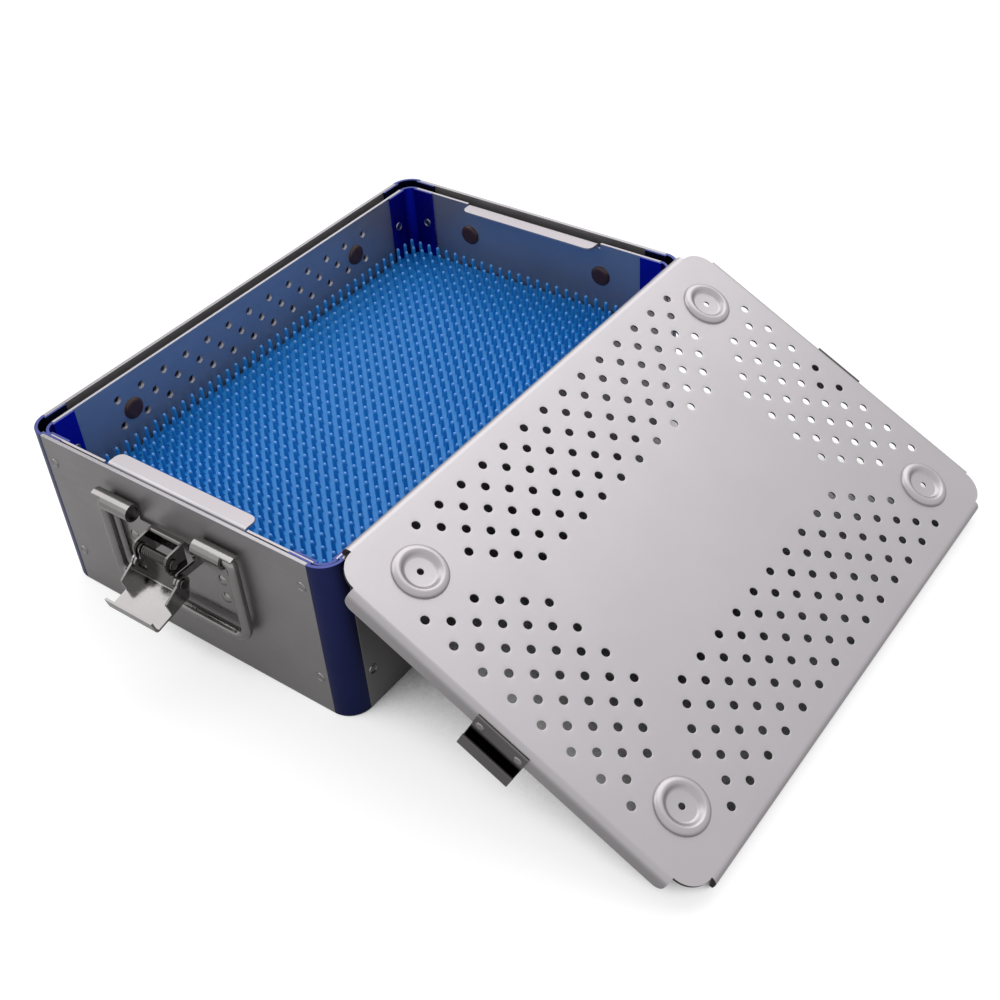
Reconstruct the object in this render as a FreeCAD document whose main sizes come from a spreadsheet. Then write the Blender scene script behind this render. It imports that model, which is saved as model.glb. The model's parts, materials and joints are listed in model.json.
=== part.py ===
import FreeCAD, Part
import math
import os
import re
from types import SimpleNamespace

from FreeCAD import Placement, Rotation, Vector

# A small sterilization container of sheet aluminium: an outer box with blue corner posts, a lift-out
# instrument tray with a silicone mat, a perforated pressed lid that leans against the box, and at each
# short end a drop handle and a draw latch.
# X runs across the box, Y along it, Z up. The origin is the middle of the underside of the base plate.
# The front end, at -Y, is modelled; the rear end is the same set of pieces turned half a turn.

os.makedirs("parts", exist_ok=True)
doc = FreeCAD.newDocument("sterilization_container")

SIZES = [
    ("box_width", 195.0, "outer width of the box, along X"),
    ("box_length", 294.0, "outer length of the box, along Y"),
    ("box_height", 93.0, "height of the box at the rim"),
    ("panel_wall", 2.0, "thickness of the four outer panels"),
    ("post_radius", 12.0, "outer radius of a corner post"),
    ("post_wall", 1.8, "thickness of the round part of a corner post"),
    ("post_reach", 24.0, "from the corner of the box to the end of a post's leg"),
    ("leg_wall", 1.2, "thickness of a post's legs, on the box and on the tray"),
    ("base_wall", 1.5, "thickness of the base plate"),
    ("vent_width", 8.0, "width of a vent in the base plate"),
    ("vent_pitch", 32.0, "spacing of the vents in the base plate"),
    ("vent_margin", 30.0, "least distance from the outside of the box to a vent"),
    ("rivet_radius", 2.7, "radius of a panel rivet's head"),
    ("rivet_proud", 0.5, "how far a panel rivet's head stands out"),
    ("rivet_inset", 17.0, "from a corner to the panel rivets"),
    ("rivet_low", 21.5, "height of the lower panel rivets"),
    ("rivet_high", 78.0, "height of the upper panel rivets"),
    ("ledge_wall", 1.5, "thickness of the ledges that carry the tray"),
    ("ledge_width", 9.0, "how far a ledge stands in from its panel"),
    ("ledge_drop", 12.0, "height of a ledge's riveted flange"),
    ("ledge_length", 230.0, "length of a ledge"),
    ("tray_floor_height", 45.0, "height of the tray's underside"),
    ("tray_rim_drop", 1.5, "how far the tray's rim lies below the rim of the box"),
    ("tray_play", 1.8, "mean side play between the tray and the legs of the box's posts"),
    ("tray_rest_play", 0.4, "play left on the two sides that the tray is pushed to"),
    ("tray_wall", 1.5, "thickness of the tray's panels"),
    ("tray_floor_wall", 1.2, "thickness of the tray's floor"),
    ("tray_post_radius", 8.0, "outer radius of a tray post"),
    ("tray_post_wall", 1.6, "thickness of the round part of a tray post"),
    ("tray_post_reach", 20.0, "from the corner of the tray to the end of a post's leg"),
    ("tray_rivet_inset", 15.0, "from a tray corner to the tray's rivets"),
    ("tray_rivet_height", 71.0, "height of the tray's rivets"),
    ("lip_length", 89.0, "length of the folded grip lip on a tray end"),
    ("lip_width", 9.5, "how far a grip lip stands in"),
    ("lip_round", 4.0, "corner radius of a grip lip"),
    ("lip_fold", 1.0, "inner bend radius where the grip lip is folded in"),
    ("button_radius", 6.0, "radius of the dark bumper buttons on the tray walls"),
    ("button_proud", 1.6, "how far a button stands in"),
    ("button_height", 71.0, "height of the buttons"),
    ("button_side_reach", 88.0, "from the middle of a long wall to its buttons"),
    ("button_end_reach", 46.0, "from the middle of a short wall to its buttons"),
    ("mat_height", 13.5, "height of the finger mat to the tips of its fingers"),
    ("mat_play", 0.4, "gap round the mat"),
    ("mat_sheet", 3.0, "thickness of the mat's sheet, below its fingers"),
    ("finger_pitch", 13.4, "spacing of the fingers that the solid shows, every second one"),
    ("finger_margin", 2.0, "least distance from the mat's edge to the middle of a finger"),
    ("finger_width", 2.4, "width of a finger"),
    ("hole_step", 8.0, "lattice step of the punched holes: neighbours are two steps apart in a row"),
    ("hole_width", 4.2, "width of a punched hole"),
    ("tray_hole_rows", 3.0, "rows of holes in a long tray wall"),
    ("tray_hole_count", 13.0, "holes in a full row of a long tray wall"),
    ("tray_hole_drop", 10.7, "from the tray's rim to its first row of holes"),
    ("lid_overhang", 4.1, "how far the lid stands out past the box on every side"),
    ("lid_wall", 1.5, "thickness of the lid's sheet"),
    ("lid_skirt", 9.0, "depth of the lid's skirts from the top of the plate"),
    ("lid_bend", 2.6, "outer bend radius between plate and skirt"),
    ("lid_corner", 12.0, "corner radius of the lid's plate"),
    ("skirt_round", 4.0, "radius of the lower corners of a skirt"),
    ("lean_gap", 0.1, "air left where the lid's edge lies on the rim"),
    ("hole_margin", 10.0, "least distance from the plate's flat edge to a hole in the lid"),
    ("ring_radius", 12.5, "outer radius of a pressed ring in the lid"),
    ("ring_crest", 9.4, "radius of the ring's crest"),
    ("ring_dish", 6.2, "radius of the dish inside the ring"),
    ("ring_rise", 2.2, "height of the ring's crest above the plate"),
    ("ring_bore", 1.6, "radius of the hole in the dish"),
    ("ring_shoulder", 0.75, "height of the ring half way down its outer flank, as a share of the rise"),
    ("catch_width", 27.5, "width of a catch strip"),
    ("catch_wall", 1.0, "thickness of a catch strip"),
    ("catch_top", 1.5, "from the top of the lid to the top of a catch strip"),
    ("catch_drop", 24.0, "from the top of the lid to the foot of a catch strip"),
    ("catch_step", 4.4, "how far the catch's hook stands out"),
    ("catch_lip", 15.0, "from the top of the lid to the top edge of the catch's hook"),
    ("catch_bend", 0.6, "inner bend radius of a catch strip"),
    ("catch_rivet_reach", 10.2, "from the middle to a catch rivet"),
    ("catch_rivet_drop", 6.6, "from the top of the lid to the catch rivets"),
    ("catch_rivet_radius", 2.2, "radius of a catch rivet's head"),
    ("plate_wall", 1.5, "thickness of a handle plate and of its rolled sleeves"),
    ("plate_reach", 37.5, "half the width of a handle plate"),
    ("plate_low", 36.0, "height of a handle plate's lower edge"),
    ("plate_round", 7.0, "radius of a handle plate's lower corners"),
    ("sleeve_start", 21.0, "from the middle to the inner end of a sleeve"),
    ("sleeve_end", 38.8, "from the middle to the outer end of a sleeve"),
    ("stop_end", 45.5, "from the middle to the tip of a sleeve's stop tab"),
    ("bail_height", 76.5, "height of the bail's pivot axis"),
    ("bail_wire", 2.75, "radius of the bail's wire"),
    ("bail_play", 0.3, "gap between the bail's wire and its sleeve"),
    ("bail_reach", 42.3, "from the middle to the middle of a bail leg"),
    ("bail_tail", 21.5, "from the middle to the wire's hidden ends"),
    ("bail_drop", 48.0, "from the pivot axis to the middle of the grip bar"),
    ("bail_bend", 3.4, "bend radius at the sleeves"),
    ("grip_bend", 8.0, "bend radius at the ends of the grip bar"),
    ("plate_rivet_reach", 29.0, "from the middle to a handle plate's rivets"),
    ("plate_rivet_high", 57.0, "height of the upper handle plate rivets"),
    ("plate_rivet_low", 46.0, "height of the lower handle plate rivets"),
    ("plate_rivet_radius", 3.0, "radius of a handle plate rivet's head"),
    ("plate_rivet_proud", 1.2, "height of a handle plate rivet's head"),
    ("latch_wall", 1.2, "sheet thickness of lever, claw and ears"),
    ("hinge_out", 13.0, "from the end wall to the lever's pivot"),
    ("hinge_height", 57.0, "height of the lever's pivot"),
    ("hinge_pin", 1.75, "radius of the lever's pivot rivets"),
    ("ear_radius", 3.8, "radius of an ear round the lever's pivot"),
    ("ear_top", 61.5, "height of the top edge of an ear's arm"),
    ("ear_low", 57.6, "height of the lower edge of an ear's arm"),
    ("ear_reach", 12.5, "from the middle to the inside of an ear"),
    ("cheek_reach", 14.3, "from the middle to the inside of a lever cheek"),
    ("web_out", 13.1, "from the end wall to the outer face of the lever's upright web"),
    ("web_low", 48.6, "height of the fold between web and finger plate"),
    ("web_notch", 52.5, "height of the foot of the notches beside the tongue"),
    ("tongue_reach", 9.4, "half the width of the tongue"),
    ("tongue_top", 63.6, "height of the top of the tongue's plate"),
    ("finger_out", 32.8, "from the end wall to the end of the finger plate"),
    ("finger_slope", 13.8, "slope of the finger plate below level"),
    ("lever_bend", 0.8, "inner bend radius of the lever's sheet"),
    ("lip_rise", 6.3, "height of the finger lip"),
    ("cheek_length", 10.5, "length of a cheek along the finger plate"),
    ("cheek_rise", 7.0, "height of a cheek above the finger plate"),
    ("cheek_shoulder", 1.0, "how far a cheek's outer top corner lies above its pivot"),
    ("claw_pin", 1.5, "radius of the claw's pin"),
    ("claw_out", 12.5, "from the end wall to the claw's pin"),
    ("claw_height", 66.5, "height of the claw's pin"),
    ("claw_reach", 9.8, "from the middle to the inside of a claw cheek"),
    ("claw_back_out", 4.7, "from the end wall to the back of the claw"),
    ("claw_top", 73.0, "height of the top of the claw"),
    ("claw_low", 60.5, "height of the foot of the claw's cheeks"),
    ("claw_window", 66.6, "height of the lower edge of the claw's back"),
    ("claw_round", 4.0, "radius of the front of a claw cheek"),
    ("claw_heel", 1.0, "radius of the lower back corner of a claw cheek"),
    ("claw_fall", 1.5, "how much lower the top of a claw cheek is at its front"),
    ("claw_bend", 0.3, "inner bend radius of the claw's hook"),
    ("claw_hook", 2.0, "how far the claw's top edge turns in"),
    ("pin_head", 2.6, "radius of the pin heads"),
    ("pin_head_wall", 0.9, "thickness of the pin heads"),
    ("running_play", 0.06, "radial play of the running fits"),
    ("side_play", 0.1, "gap between a turning cheek and a pin head"),
    ("eye_radius", 3.0, "radius of the tongue's eyes round the claw's pin"),
    ("spring_wire", 1.0, "wire size of the claw spring"),
    ("spring_radius", 2.5, "outer radius of the claw spring"),
    ("spring_turns", 8.0, "turns of the claw spring that are drawn"),
    ("coil_share", 0.7, "length of a drawn turn as a share of the spacing of the turns"),
    ("coil_relief", 0.3, "depth between two drawn turns as a share of the wire size"),
]

sheet = doc.addObject("Spreadsheet::Sheet", "sizes")
for row, (alias, value, meaning) in enumerate(SIZES, start=1):
    sheet.set(f"A{row}", meaning)
    sheet.set(f"B{row}", str(value))
    sheet.setAlias(f"B{row}", alias)
doc.recompute()
S = SimpleNamespace(**{alias: float(sheet.get(alias)) for alias, value, meaning in SIZES})

NAMES = {alias for alias, value, meaning in SIZES}
NODES = {}
FRONT = "-box_length/2"
TINY = 1e-6
PUNCH_SIDES = 6
STUD_SIDES = 12
WIRE_SIDES = 16


def bound(text):
    """The text as an expression on the sheet's cells."""
    return re.sub(r"[a-z][a-z_]*", lambda m: "sizes." + m[0] if m[0] in NAMES else m[0], text)


def bind(thing, prop, text):
    thing.setExpression(prop, bound(text))


def place(thing, x, y, z):
    """Binds the place of a thing, given as three texts."""
    for letter, text in zip("xyz", (x, y, z)):
        bind(thing, f"Placement.Base.{letter}", text)


def node(label, thing):
    """Makes a thing one sub-part of the model."""
    thing.Label = label
    NODES[label] = thing
    return thing


def block(name, x, y, z):
    """A box between two texts along each axis."""
    thing = doc.addObject("Part::Box", name)
    for prop, (low, high) in zip(("Length", "Width", "Height"), (x, y, z)):
        bind(thing, prop, f"({high}) - ({low})")
    place(thing, x[0], y[0], z[0])
    return thing


TURNS = {
    "x": Rotation(Vector(0, 1, 0), 90),
    "y": Rotation(Vector(1, 0, 0), -90),
    "z": Rotation(),
}


def rod(name, along, radius, length, x, y, z):
    """A cylinder that starts at x, y, z and runs along one axis."""
    thing = doc.addObject("Part::Cylinder", name)
    bind(thing, "Radius", radius)
    bind(thing, "Height", length)
    thing.Placement = Placement(Vector(), TURNS[along])
    place(thing, x, y, z)
    return thing


def stud(name, along, radius, length, x, y, z):
    """A small head such as a rivet's: a prism with twelve flat sides, placed like a rod."""
    thing = doc.addObject("Part::Prism", name)
    thing.Polygon = STUD_SIDES
    bind(thing, "Circumradius", radius)
    bind(thing, "Height", length)
    thing.Placement = Placement(Vector(), TURNS[along])
    place(thing, x, y, z)
    return thing


def fuse(name, *things):
    thing = doc.addObject("Part::MultiFuse", name)
    thing.Shapes = list(things)
    thing.Refine = True
    return thing


def cut(name, base, *tools):
    thing = doc.addObject("Part::Cut", name)
    thing.Base = base
    thing.Tool = tools[0] if len(tools) == 1 else fuse(name + "_tools", *tools)
    thing.Refine = True
    return thing


def group(name, *things):
    """Separate solids kept in one sub-part."""
    thing = doc.addObject("Part::Compound", name)
    thing.Links = list(things)
    return thing


def turned(name, source):
    """The same piece at the other end of the box, half a turn round."""
    thing = group(name, source)
    thing.Placement = Placement(Vector(), Rotation(Vector(0, 0, 1), 180))
    return thing


def rounded(name, base, radius, chosen):
    """Rounds the edges of the base that the function picks."""
    doc.recompute()
    thing = doc.addObject("Part::Fillet", name)
    thing.Base = base
    picked = [i for i, edge in enumerate(base.Shape.Edges, start=1) if chosen(edge)]
    thing.Edges = [(i, radius, radius) for i in picked]
    return thing


def upright(edge):
    return abs(edge.BoundBox.ZLength - edge.Length) < TINY


def centre(edge):
    return edge.BoundBox.Center


def solid(name, shape):
    thing = doc.addObject("Part::Feature", name)
    thing.Shape = shape
    return thing


def strip_outline(points, wall, bend, side=1):
    """Edges of a bent sheet's section: the points lie on one face, the wall lies to their left, or
    to their right where side is -1, and each inner corner has the bend radius."""
    path = [Vector(a, b, 0) for a, b in points]
    runs = [(q - p).normalize() for p, q in zip(path, path[1:])]
    across = [Vector(-d.y, d.x, 0) * wall * side for d in runs]
    turns = [side * math.atan2(d.cross(e).z, d.dot(e)) for d, e in zip(runs, runs[1:])]
    near = [(path[0], 0.0)]
    far = [(path[0] + across[0], 0.0)]
    for corner, shift, run, turn in zip(path[1:], across, runs, turns):
        near.append((corner, bend + wall if turn > 0 else bend))
        far_corner = corner + shift - run * wall * math.tan(turn / 2)
        far.append((far_corner, bend if turn > 0 else bend + wall))
    near.append((path[-1], 0.0))
    far.append((path[-1] + across[-1], 0.0))
    return rounded_loop(near + far[::-1])


def rounded_loop(corners):
    """Lines and arcs of a closed outline, from corners given as a point and a radius."""
    edges = []
    starts, ends = [], []
    count = len(corners)
    for i, (corner, radius) in enumerate(corners):
        back = (corners[i - 1][0] - corner).normalize()
        on = (corners[(i + 1) % count][0] - corner).normalize()
        half = math.acos(max(-1.0, min(1.0, back.dot(on)))) / 2
        reach = radius / math.tan(half) if radius else 0.0
        starts.append(corner + back * reach)
        ends.append(corner + on * reach)
        if radius:
            middle = (back + on).normalize()
            nearest = corner + middle * (radius / math.sin(half) - radius)
            edges.append(Part.Arc(starts[-1], nearest, ends[-1]))
    for i in range(count):
        if (starts[(i + 1) % count] - ends[i]).Length > TINY:
            edges.append(Part.LineSegment(ends[i], starts[(i + 1) % count]))
    return edges


def plane_of(body, role):
    return next(f for f in body.Origin.OriginFeatures if f.Role == role)


def padded_body(name, role, edges, length):
    """A body that pads one sketch evenly to both sides of an origin plane."""
    body = doc.addObject("PartDesign::Body", name)
    sketch = body.newObject("Sketcher::SketchObject", name + "_sketch")
    sketch.AttachmentSupport = (plane_of(body, role), [""])
    sketch.MapMode = "FlatFace"
    sketch.addGeometry(edges)
    pad = body.newObject("PartDesign::Pad", name + "_pad")
    pad.Profile = sketch
    pad.Midplane = True
    bind(pad, "Length", length)
    return body


def corner_post(name, height, radius, wall, panel, reach, corner_x, corner_y, low):
    """A post of extruded section: a quarter round, with legs that lie behind the panels."""
    x, y = corner_x, corner_y
    round_x, round_y = f"{x} - {radius}", f"{y} - {radius}"
    outer = rod(name + "_round", "z", radius, height, round_x, round_y, low)
    outer.Angle = 90
    inner = rod(name + "_hollow", "z", f"{radius} - {wall}", height, round_x, round_y, low)
    inner.Angle = 90
    quarter = cut(name + "_quarter", outer, inner)
    top = f"{low} + {height}"
    legs = []
    for side in "xy":
        along, across = (x, y) if side == "x" else (y, x)
        run = (f"{along} - {reach}", f"{along} - {radius}")
        behind = (f"{across} - {panel} - leg_wall", f"{across} - {panel}")
        spans = (run, behind) if side == "x" else (behind, run)
        legs.append(block(f"{name}_leg_{side}", *spans, (low, top)))
        seat_run = (f"{along} - {radius}", f"{along} - {radius} + leg_wall")
        seat_deep = (f"{across} - {panel} - leg_wall", f"{across} - {wall} / 2")
        spans = (seat_run, seat_deep) if side == "x" else (seat_deep, seat_run)
        legs.append(block(f"{name}_seat_{side}", *spans, (low, top)))
    return fuse(name + "_section", quarter, *legs)


def four_posts(prefix, source, half_x, half_y, shift=(0.0, 0.0)):
    """The same post in four corners: the source stands in the +X +Y one."""
    corners = {
        "rear_right": (1, 1, 0),
        "rear_left": (-1, 1, 90),
        "front_left": (-1, -1, 180),
        "front_right": (1, -1, 270),
    }
    for corner, (sx, sy, turn) in corners.items():
        post = group(f"{prefix}_{corner}_post", source)
        turning = Rotation(Vector(0, 0, 1), turn)
        moved = turning.multVec(Vector(half_x, half_y, 0))
        target = Vector(sx * half_x, sy * half_y, 0)
        place_at = target - moved + Vector(*shift, 0)
        post.Placement = Placement(place_at, turning)
        node(f"{prefix}_post_{corner}", post)


# The outer box

half_width = "box_width/2"
half_length = "box_length/2"
front_panel = block(
    "front_panel",
    (f"-{half_width} + post_radius", f"{half_width} - post_radius"),
    (FRONT, f"{FRONT} + panel_wall"),
    ("0", "box_height"),
)
node("end_panel_front", front_panel)
node("end_panel_rear", turned("rear_panel", front_panel))
right_panel = block(
    "right_panel",
    (f"{half_width} - panel_wall", half_width),
    (f"-{half_length} + post_radius", f"{half_length} - post_radius"),
    ("0", "box_height"),
)
node("side_panel_right", right_panel)
node("side_panel_left", turned("left_panel", right_panel))

box_post = corner_post(
    "box_post",
    "box_height",
    "post_radius",
    "post_wall",
    "panel_wall",
    "post_reach",
    half_width,
    half_length,
    "0",
)
four_posts("box", box_post, S.box_width / 2, S.box_length / 2)


def notched_plate(name, half_x, half_y, panel, reach, low, high):
    """A flat plate that fills a box between its panels and steps in round the posts' legs."""
    inner_x, inner_y = f"{half_x} - {panel}", f"{half_y} - {panel}"
    behind_x, behind_y = f"{inner_x} - leg_wall", f"{inner_y} - leg_wall"
    spans = {
        "_long": (f"{half_x} - {reach} - tray_rest_play", inner_y),
        "_wide": (inner_x, f"{half_y} - {reach} - tray_rest_play"),
        "_body": (behind_x, behind_y),
    }
    pieces = [
        block(name + part, (f"-({x})", x), (f"-({y})", y), (low, high))
        for part, (x, y) in spans.items()
    ]
    body = rounded(name + "_core", pieces[2], S.tray_post_radius - S.tray_post_wall, upright)
    return fuse(name + "_plate", pieces[0], pieces[1], body)


def punch(x, y, low, high, width, sides=PUNCH_SIDES):
    """A hole cutter with flat sides, as wide as the round hole."""
    radius = width / 2
    around = [2 * math.pi * (k + 0.5) / sides for k in range(sides)]
    ring = [Vector(x + radius * math.cos(a), y + radius * math.sin(a), low) for a in around]
    return Part.Face(Part.makePolygon(ring + ring[:1])).extrude(Vector(0, 0, high - low))


def grid(count):
    """Places of a centred row, in steps of one."""
    return [k - (count - 1) / 2 for k in range(int(count))]


base_blank = notched_plate("base", half_width, half_length, "panel_wall", "post_reach", "0", "base_wall")
vents = solid(
    "base_vents",
    Part.makeCompound(
        [
            punch(i * S.vent_pitch, j * S.vent_pitch, -1.0, S.base_wall + 1.0, S.vent_width)
            for i in grid((S.box_width - 2 * S.vent_margin) // S.vent_pitch + 1)
            for j in grid((S.box_length - 2 * S.vent_margin) // S.vent_pitch + 1)
        ]
    ),
)
node("base_plate", cut("base_vented", base_blank, vents))

rivets = []
for i, (x, z) in enumerate((x, z) for x in (-1, 1) for z in ("rivet_low", "rivet_high")):
    side_x = f"{x} * ({half_width} - rivet_inset)"
    head = stud(f"end_rivet_{i}", "y", "rivet_radius", "rivet_proud", side_x, f"{FRONT} - rivet_proud", z)
    side_y = f"{x} * ({half_length} - rivet_inset)"
    side = stud(f"side_rivet_{i}", "x", "rivet_radius", "rivet_proud", half_width, side_y, z)
    rivets += [head, side, turned(f"end_rivet_turned_{i}", head), turned(f"side_rivet_turned_{i}", side)]
node("panel_rivets", group("rivet_set", *rivets))

ledge_top = block(
    "ledge_top",
    (f"{half_width} - panel_wall - ledge_width", f"{half_width} - panel_wall"),
    ("-ledge_length/2", "ledge_length/2"),
    ("tray_floor_height - ledge_wall", "tray_floor_height"),
)
ledge_flange = block(
    "ledge_flange",
    (f"{half_width} - panel_wall - ledge_wall", f"{half_width} - panel_wall"),
    ("-ledge_length/2", "ledge_length/2"),
    ("tray_floor_height - ledge_drop", "tray_floor_height"),
)
ledge = rounded(
    "ledge",
    fuse("ledge_angle", ledge_top, ledge_flange),
    S.lip_round,
    lambda edge: upright(edge) and centre(edge).z > S.tray_floor_height - S.ledge_wall,
)
node("tray_ledge_right", ledge)
node("tray_ledge_left", turned("left_ledge", ledge))
ledge_rivets = []
for i in grid(3):
    spot = f"{i} * (ledge_length/2 - rivet_inset)"
    head_x = f"{half_width} - panel_wall - ledge_wall - rivet_proud"
    head_z = "tray_floor_height - ledge_drop/2 - ledge_wall/2"
    head = stud(f"ledge_rivet_{int(i)+1}", "x", "rivet_radius", "rivet_proud", head_x, spot, head_z)
    ledge_rivets += [head, turned(f"ledge_rivet_turned_{int(i)+1}", head)]
node("ledge_rivets", group("ledge_rivet_set", *ledge_rivets))

# The lift-out tray, built centred and then pushed to the front right corner

tray_half_x = f"({half_width} - panel_wall - leg_wall - tray_play)"
tray_half_y = f"({half_length} - panel_wall - leg_wall - tray_play)"
tray_low = "tray_floor_height"
tray_top = "box_height - tray_rim_drop"
tray_x = S.box_width / 2 - S.panel_wall - S.leg_wall - S.tray_play
tray_y = S.box_length / 2 - S.panel_wall - S.leg_wall - S.tray_play
PUSH = Vector(S.tray_play - S.tray_rest_play, S.tray_rest_play - S.tray_play, 0)


def pushed(label, thing, turn=0):
    """One tray piece, turned round the tray's middle and pushed with the tray."""
    moved = group(label + "_placed", thing)
    moved.Placement = Placement(PUSH, Rotation(Vector(0, 0, 1), turn))
    return node(label, moved)


tray_post = corner_post(
    "tray_post",
    f"({tray_top} - {tray_low})",
    "tray_post_radius",
    "tray_post_wall",
    "tray_wall",
    "tray_post_reach",
    tray_half_x,
    tray_half_y,
    tray_low,
)
four_posts("tray", tray_post, tray_x, tray_y, (PUSH.x, PUSH.y))


def wall_punches(rows, count, top):
    """Staggered rows of holes through a long tray wall, every other row one step along."""
    holes = []
    for r in range(int(rows)):
        for k in grid(count - r % 2):
            hole = punch(2 * k * S.hole_step, top - r * S.hole_step, 0, 4 * S.tray_wall, S.hole_width)
            holes.append(hole)
    compound = Part.makeCompound(holes)
    compound.Placement = Placement(
        Vector(tray_x - 2 * S.tray_wall, 0, 0), Rotation(Vector(0, 1, 0), Vector(0, 0, 1), Vector(1, 0, 0))
    )
    return compound


tray_side_blank = block(
    "tray_side_blank",
    (f"{tray_half_x} - tray_wall", tray_half_x),
    (f"-{tray_half_y} + tray_post_radius", f"{tray_half_y} - tray_post_radius"),
    (tray_low, tray_top),
)
first_row = S.box_height - S.tray_rim_drop - S.tray_hole_drop
tray_holes = solid("tray_holes", wall_punches(S.tray_hole_rows, S.tray_hole_count, first_row))
tray_side = cut("tray_side", tray_side_blank, tray_holes)
pushed("tray_side_right", tray_side)
pushed("tray_side_left", tray_side, 180)

tray_end_wall = block(
    "tray_end_wall",
    (f"-{tray_half_x} + tray_post_radius", f"{tray_half_x} - tray_post_radius"),
    (f"-{tray_half_y}", f"-{tray_half_y} + tray_wall"),
    (tray_low, tray_top),
)
lip_blank = block(
    "lip_blank",
    ("-lip_length/2", "lip_length/2"),
    (f"-{tray_half_y}", f"-{tray_half_y} + lip_width"),
    (f"{tray_top} - tray_wall", tray_top),
)
lip = rounded(
    "grip_lip",
    lip_blank,
    S.lip_round,
    lambda edge: upright(edge) and centre(edge).y > S.lip_width / 2 - tray_y,
)
reliefs = [
    block(
        f"lip_relief_{i}",
        (f"{x} - tray_wall/2", f"{x} + tray_wall/2"),
        (f"-{tray_half_y} - 1", f"-{tray_half_y} + tray_wall + 1"),
        (f"{tray_top} - 2 * tray_wall", f"{tray_top} + 1"),
    )
    for i, x in enumerate(("-lip_length/2 - tray_wall/2", "lip_length/2 + tray_wall/2"))
]
tray_end_sharp = fuse("tray_end_sharp", cut("tray_end_relieved", tray_end_wall, *reliefs), lip)
tray_end = rounded(
    "tray_end",
    tray_end_sharp,
    S.lip_fold + S.tray_wall,
    lambda edge: centre(edge).z > S.box_height - S.tray_rim_drop - TINY
    and centre(edge).y < TINY - tray_y
    and abs(edge.Length - S.lip_length) < TINY,
)
pushed("tray_end_front", tray_end)
pushed("tray_end_rear", tray_end, 180)

tray_floor = notched_plate(
    "tray_floor",
    tray_half_x,
    tray_half_y,
    "tray_wall",
    "tray_post_reach",
    tray_low,
    f"{tray_low} + tray_floor_wall",
)
pushed("tray_floor_plate", tray_floor)

mat_x = f"({tray_half_x} - tray_wall - leg_wall - mat_play)"
mat_y = f"({tray_half_y} - tray_wall - leg_wall - mat_play)"
mat_blank = block(
    "mat_blank",
    (f"-{mat_x}", mat_x),
    (f"-{mat_y}", mat_y),
    (f"{tray_low} + tray_floor_wall", f"{tray_low} + tray_floor_wall + mat_sheet"),
)
mat_sheet = rounded("mat_sheet", mat_blank, S.tray_post_radius, upright)


def mat_fingers():
    """Every second finger of the mat, as a square peg that starts inside the sheet."""
    edge = S.tray_wall + S.leg_wall + S.mat_play + S.finger_margin
    low = S.tray_floor_height + S.tray_floor_wall + S.mat_sheet / 2
    top = S.tray_floor_height + S.tray_floor_wall + S.mat_height
    return Part.makeCompound(
        [
            punch(i * S.finger_pitch, j * S.finger_pitch, low, top, S.finger_width * math.sqrt(2), 4)
            for i in grid(2 * (tray_x - edge) // S.finger_pitch + 1)
            for j in grid(2 * (tray_y - edge) // S.finger_pitch + 1)
        ]
    )


pushed("finger_mat", fuse("mat_solid", mat_sheet, solid("mat_pegs", mat_fingers())))

tray_rivets = []
for i, side in enumerate((-1, 1)):
    spot = f"{side} * ({tray_half_x} - tray_rivet_inset)"
    head_y = f"-{tray_half_y} + tray_wall + leg_wall"
    head = stud(f"tray_end_rivet_{i}", "y", "rivet_radius", "rivet_proud", spot, head_y, "tray_rivet_height")
    spot = f"{side} * ({tray_half_y} - tray_rivet_inset)"
    head_x = f"{tray_half_x} - tray_wall - leg_wall - rivet_proud"
    side_head = stud(
        f"tray_side_rivet_{i}", "x", "rivet_radius", "rivet_proud", head_x, spot, "tray_rivet_height"
    )
    for head in (head, side_head):
        tray_rivets += [head, turned(head.Name + "_turned", head)]
pushed("tray_rivets", group("tray_rivet_set", *tray_rivets))

buttons = []
for i, side in enumerate((-1, 1)):
    head = stud(
        f"end_button_{i}",
        "y",
        "button_radius",
        "button_proud",
        f"{side} * button_end_reach",
        f"-{tray_half_y} + tray_wall",
        "button_height",
    )
    side_head = stud(
        f"side_button_{i}",
        "x",
        "button_radius",
        "button_proud",
        f"{tray_half_x} - tray_wall - button_proud",
        f"{side} * button_side_reach",
        "button_height",
    )
    for head in (head, side_head):
        buttons += [head, turned(head.Name + "_turned", head)]
pushed("tray_buttons", group("button_set", *buttons))

# The lid, built flat with the top of its plate at the origin and then leaned on the box

lid_half_x = S.box_width / 2 + S.lid_overhang
lid_half_y = S.box_length / 2 + S.lid_overhang
flat_x = lid_half_x - S.lid_bend
flat_y = lid_half_y - S.lid_bend
lean = math.asin((S.box_height + S.lean_gap) / (2 * lid_half_x - S.lid_wall))
lean_turn = Rotation(Vector(0, 1, 0), math.degrees(lean))
rim_contact = Vector(S.box_width / 2 - S.panel_wall / 2, 0, S.box_height + S.lean_gap)
LEAN = Placement(
    rim_contact - lean_turn.multVec(Vector(-lid_half_x + S.lid_wall, 0, -S.lid_skirt)), lean_turn
)

# How much each row of a group of holes is shorter than its outermost one, from the edge inwards
NARROWER = (0, 1, 2, 1, 2, 3, 4)
RING_IN = 2
outer_i = int((flat_x - S.hole_margin) // S.hole_step)
outer_j = int((flat_y - S.hole_margin) // S.hole_step)


def lid_hole_places():
    """Centres of the punched holes: at each edge of the lid a group of staggered rows that stops
    short of the corners and narrows towards the middle."""
    places = []
    for sign in (-1, 1):
        for row, less in enumerate(NARROWER):
            end_reach = outer_i - 2 * RING_IN - less
            side_reach = outer_j - 2 * RING_IN - less
            places += [(2 * k, sign * (outer_j - row)) for k in grid(end_reach + 1)]
            places += [(sign * (outer_i - row), 2 * k) for k in grid(side_reach + 1)]
    return [(i * S.hole_step, j * S.hole_step) for i, j in places]


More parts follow.
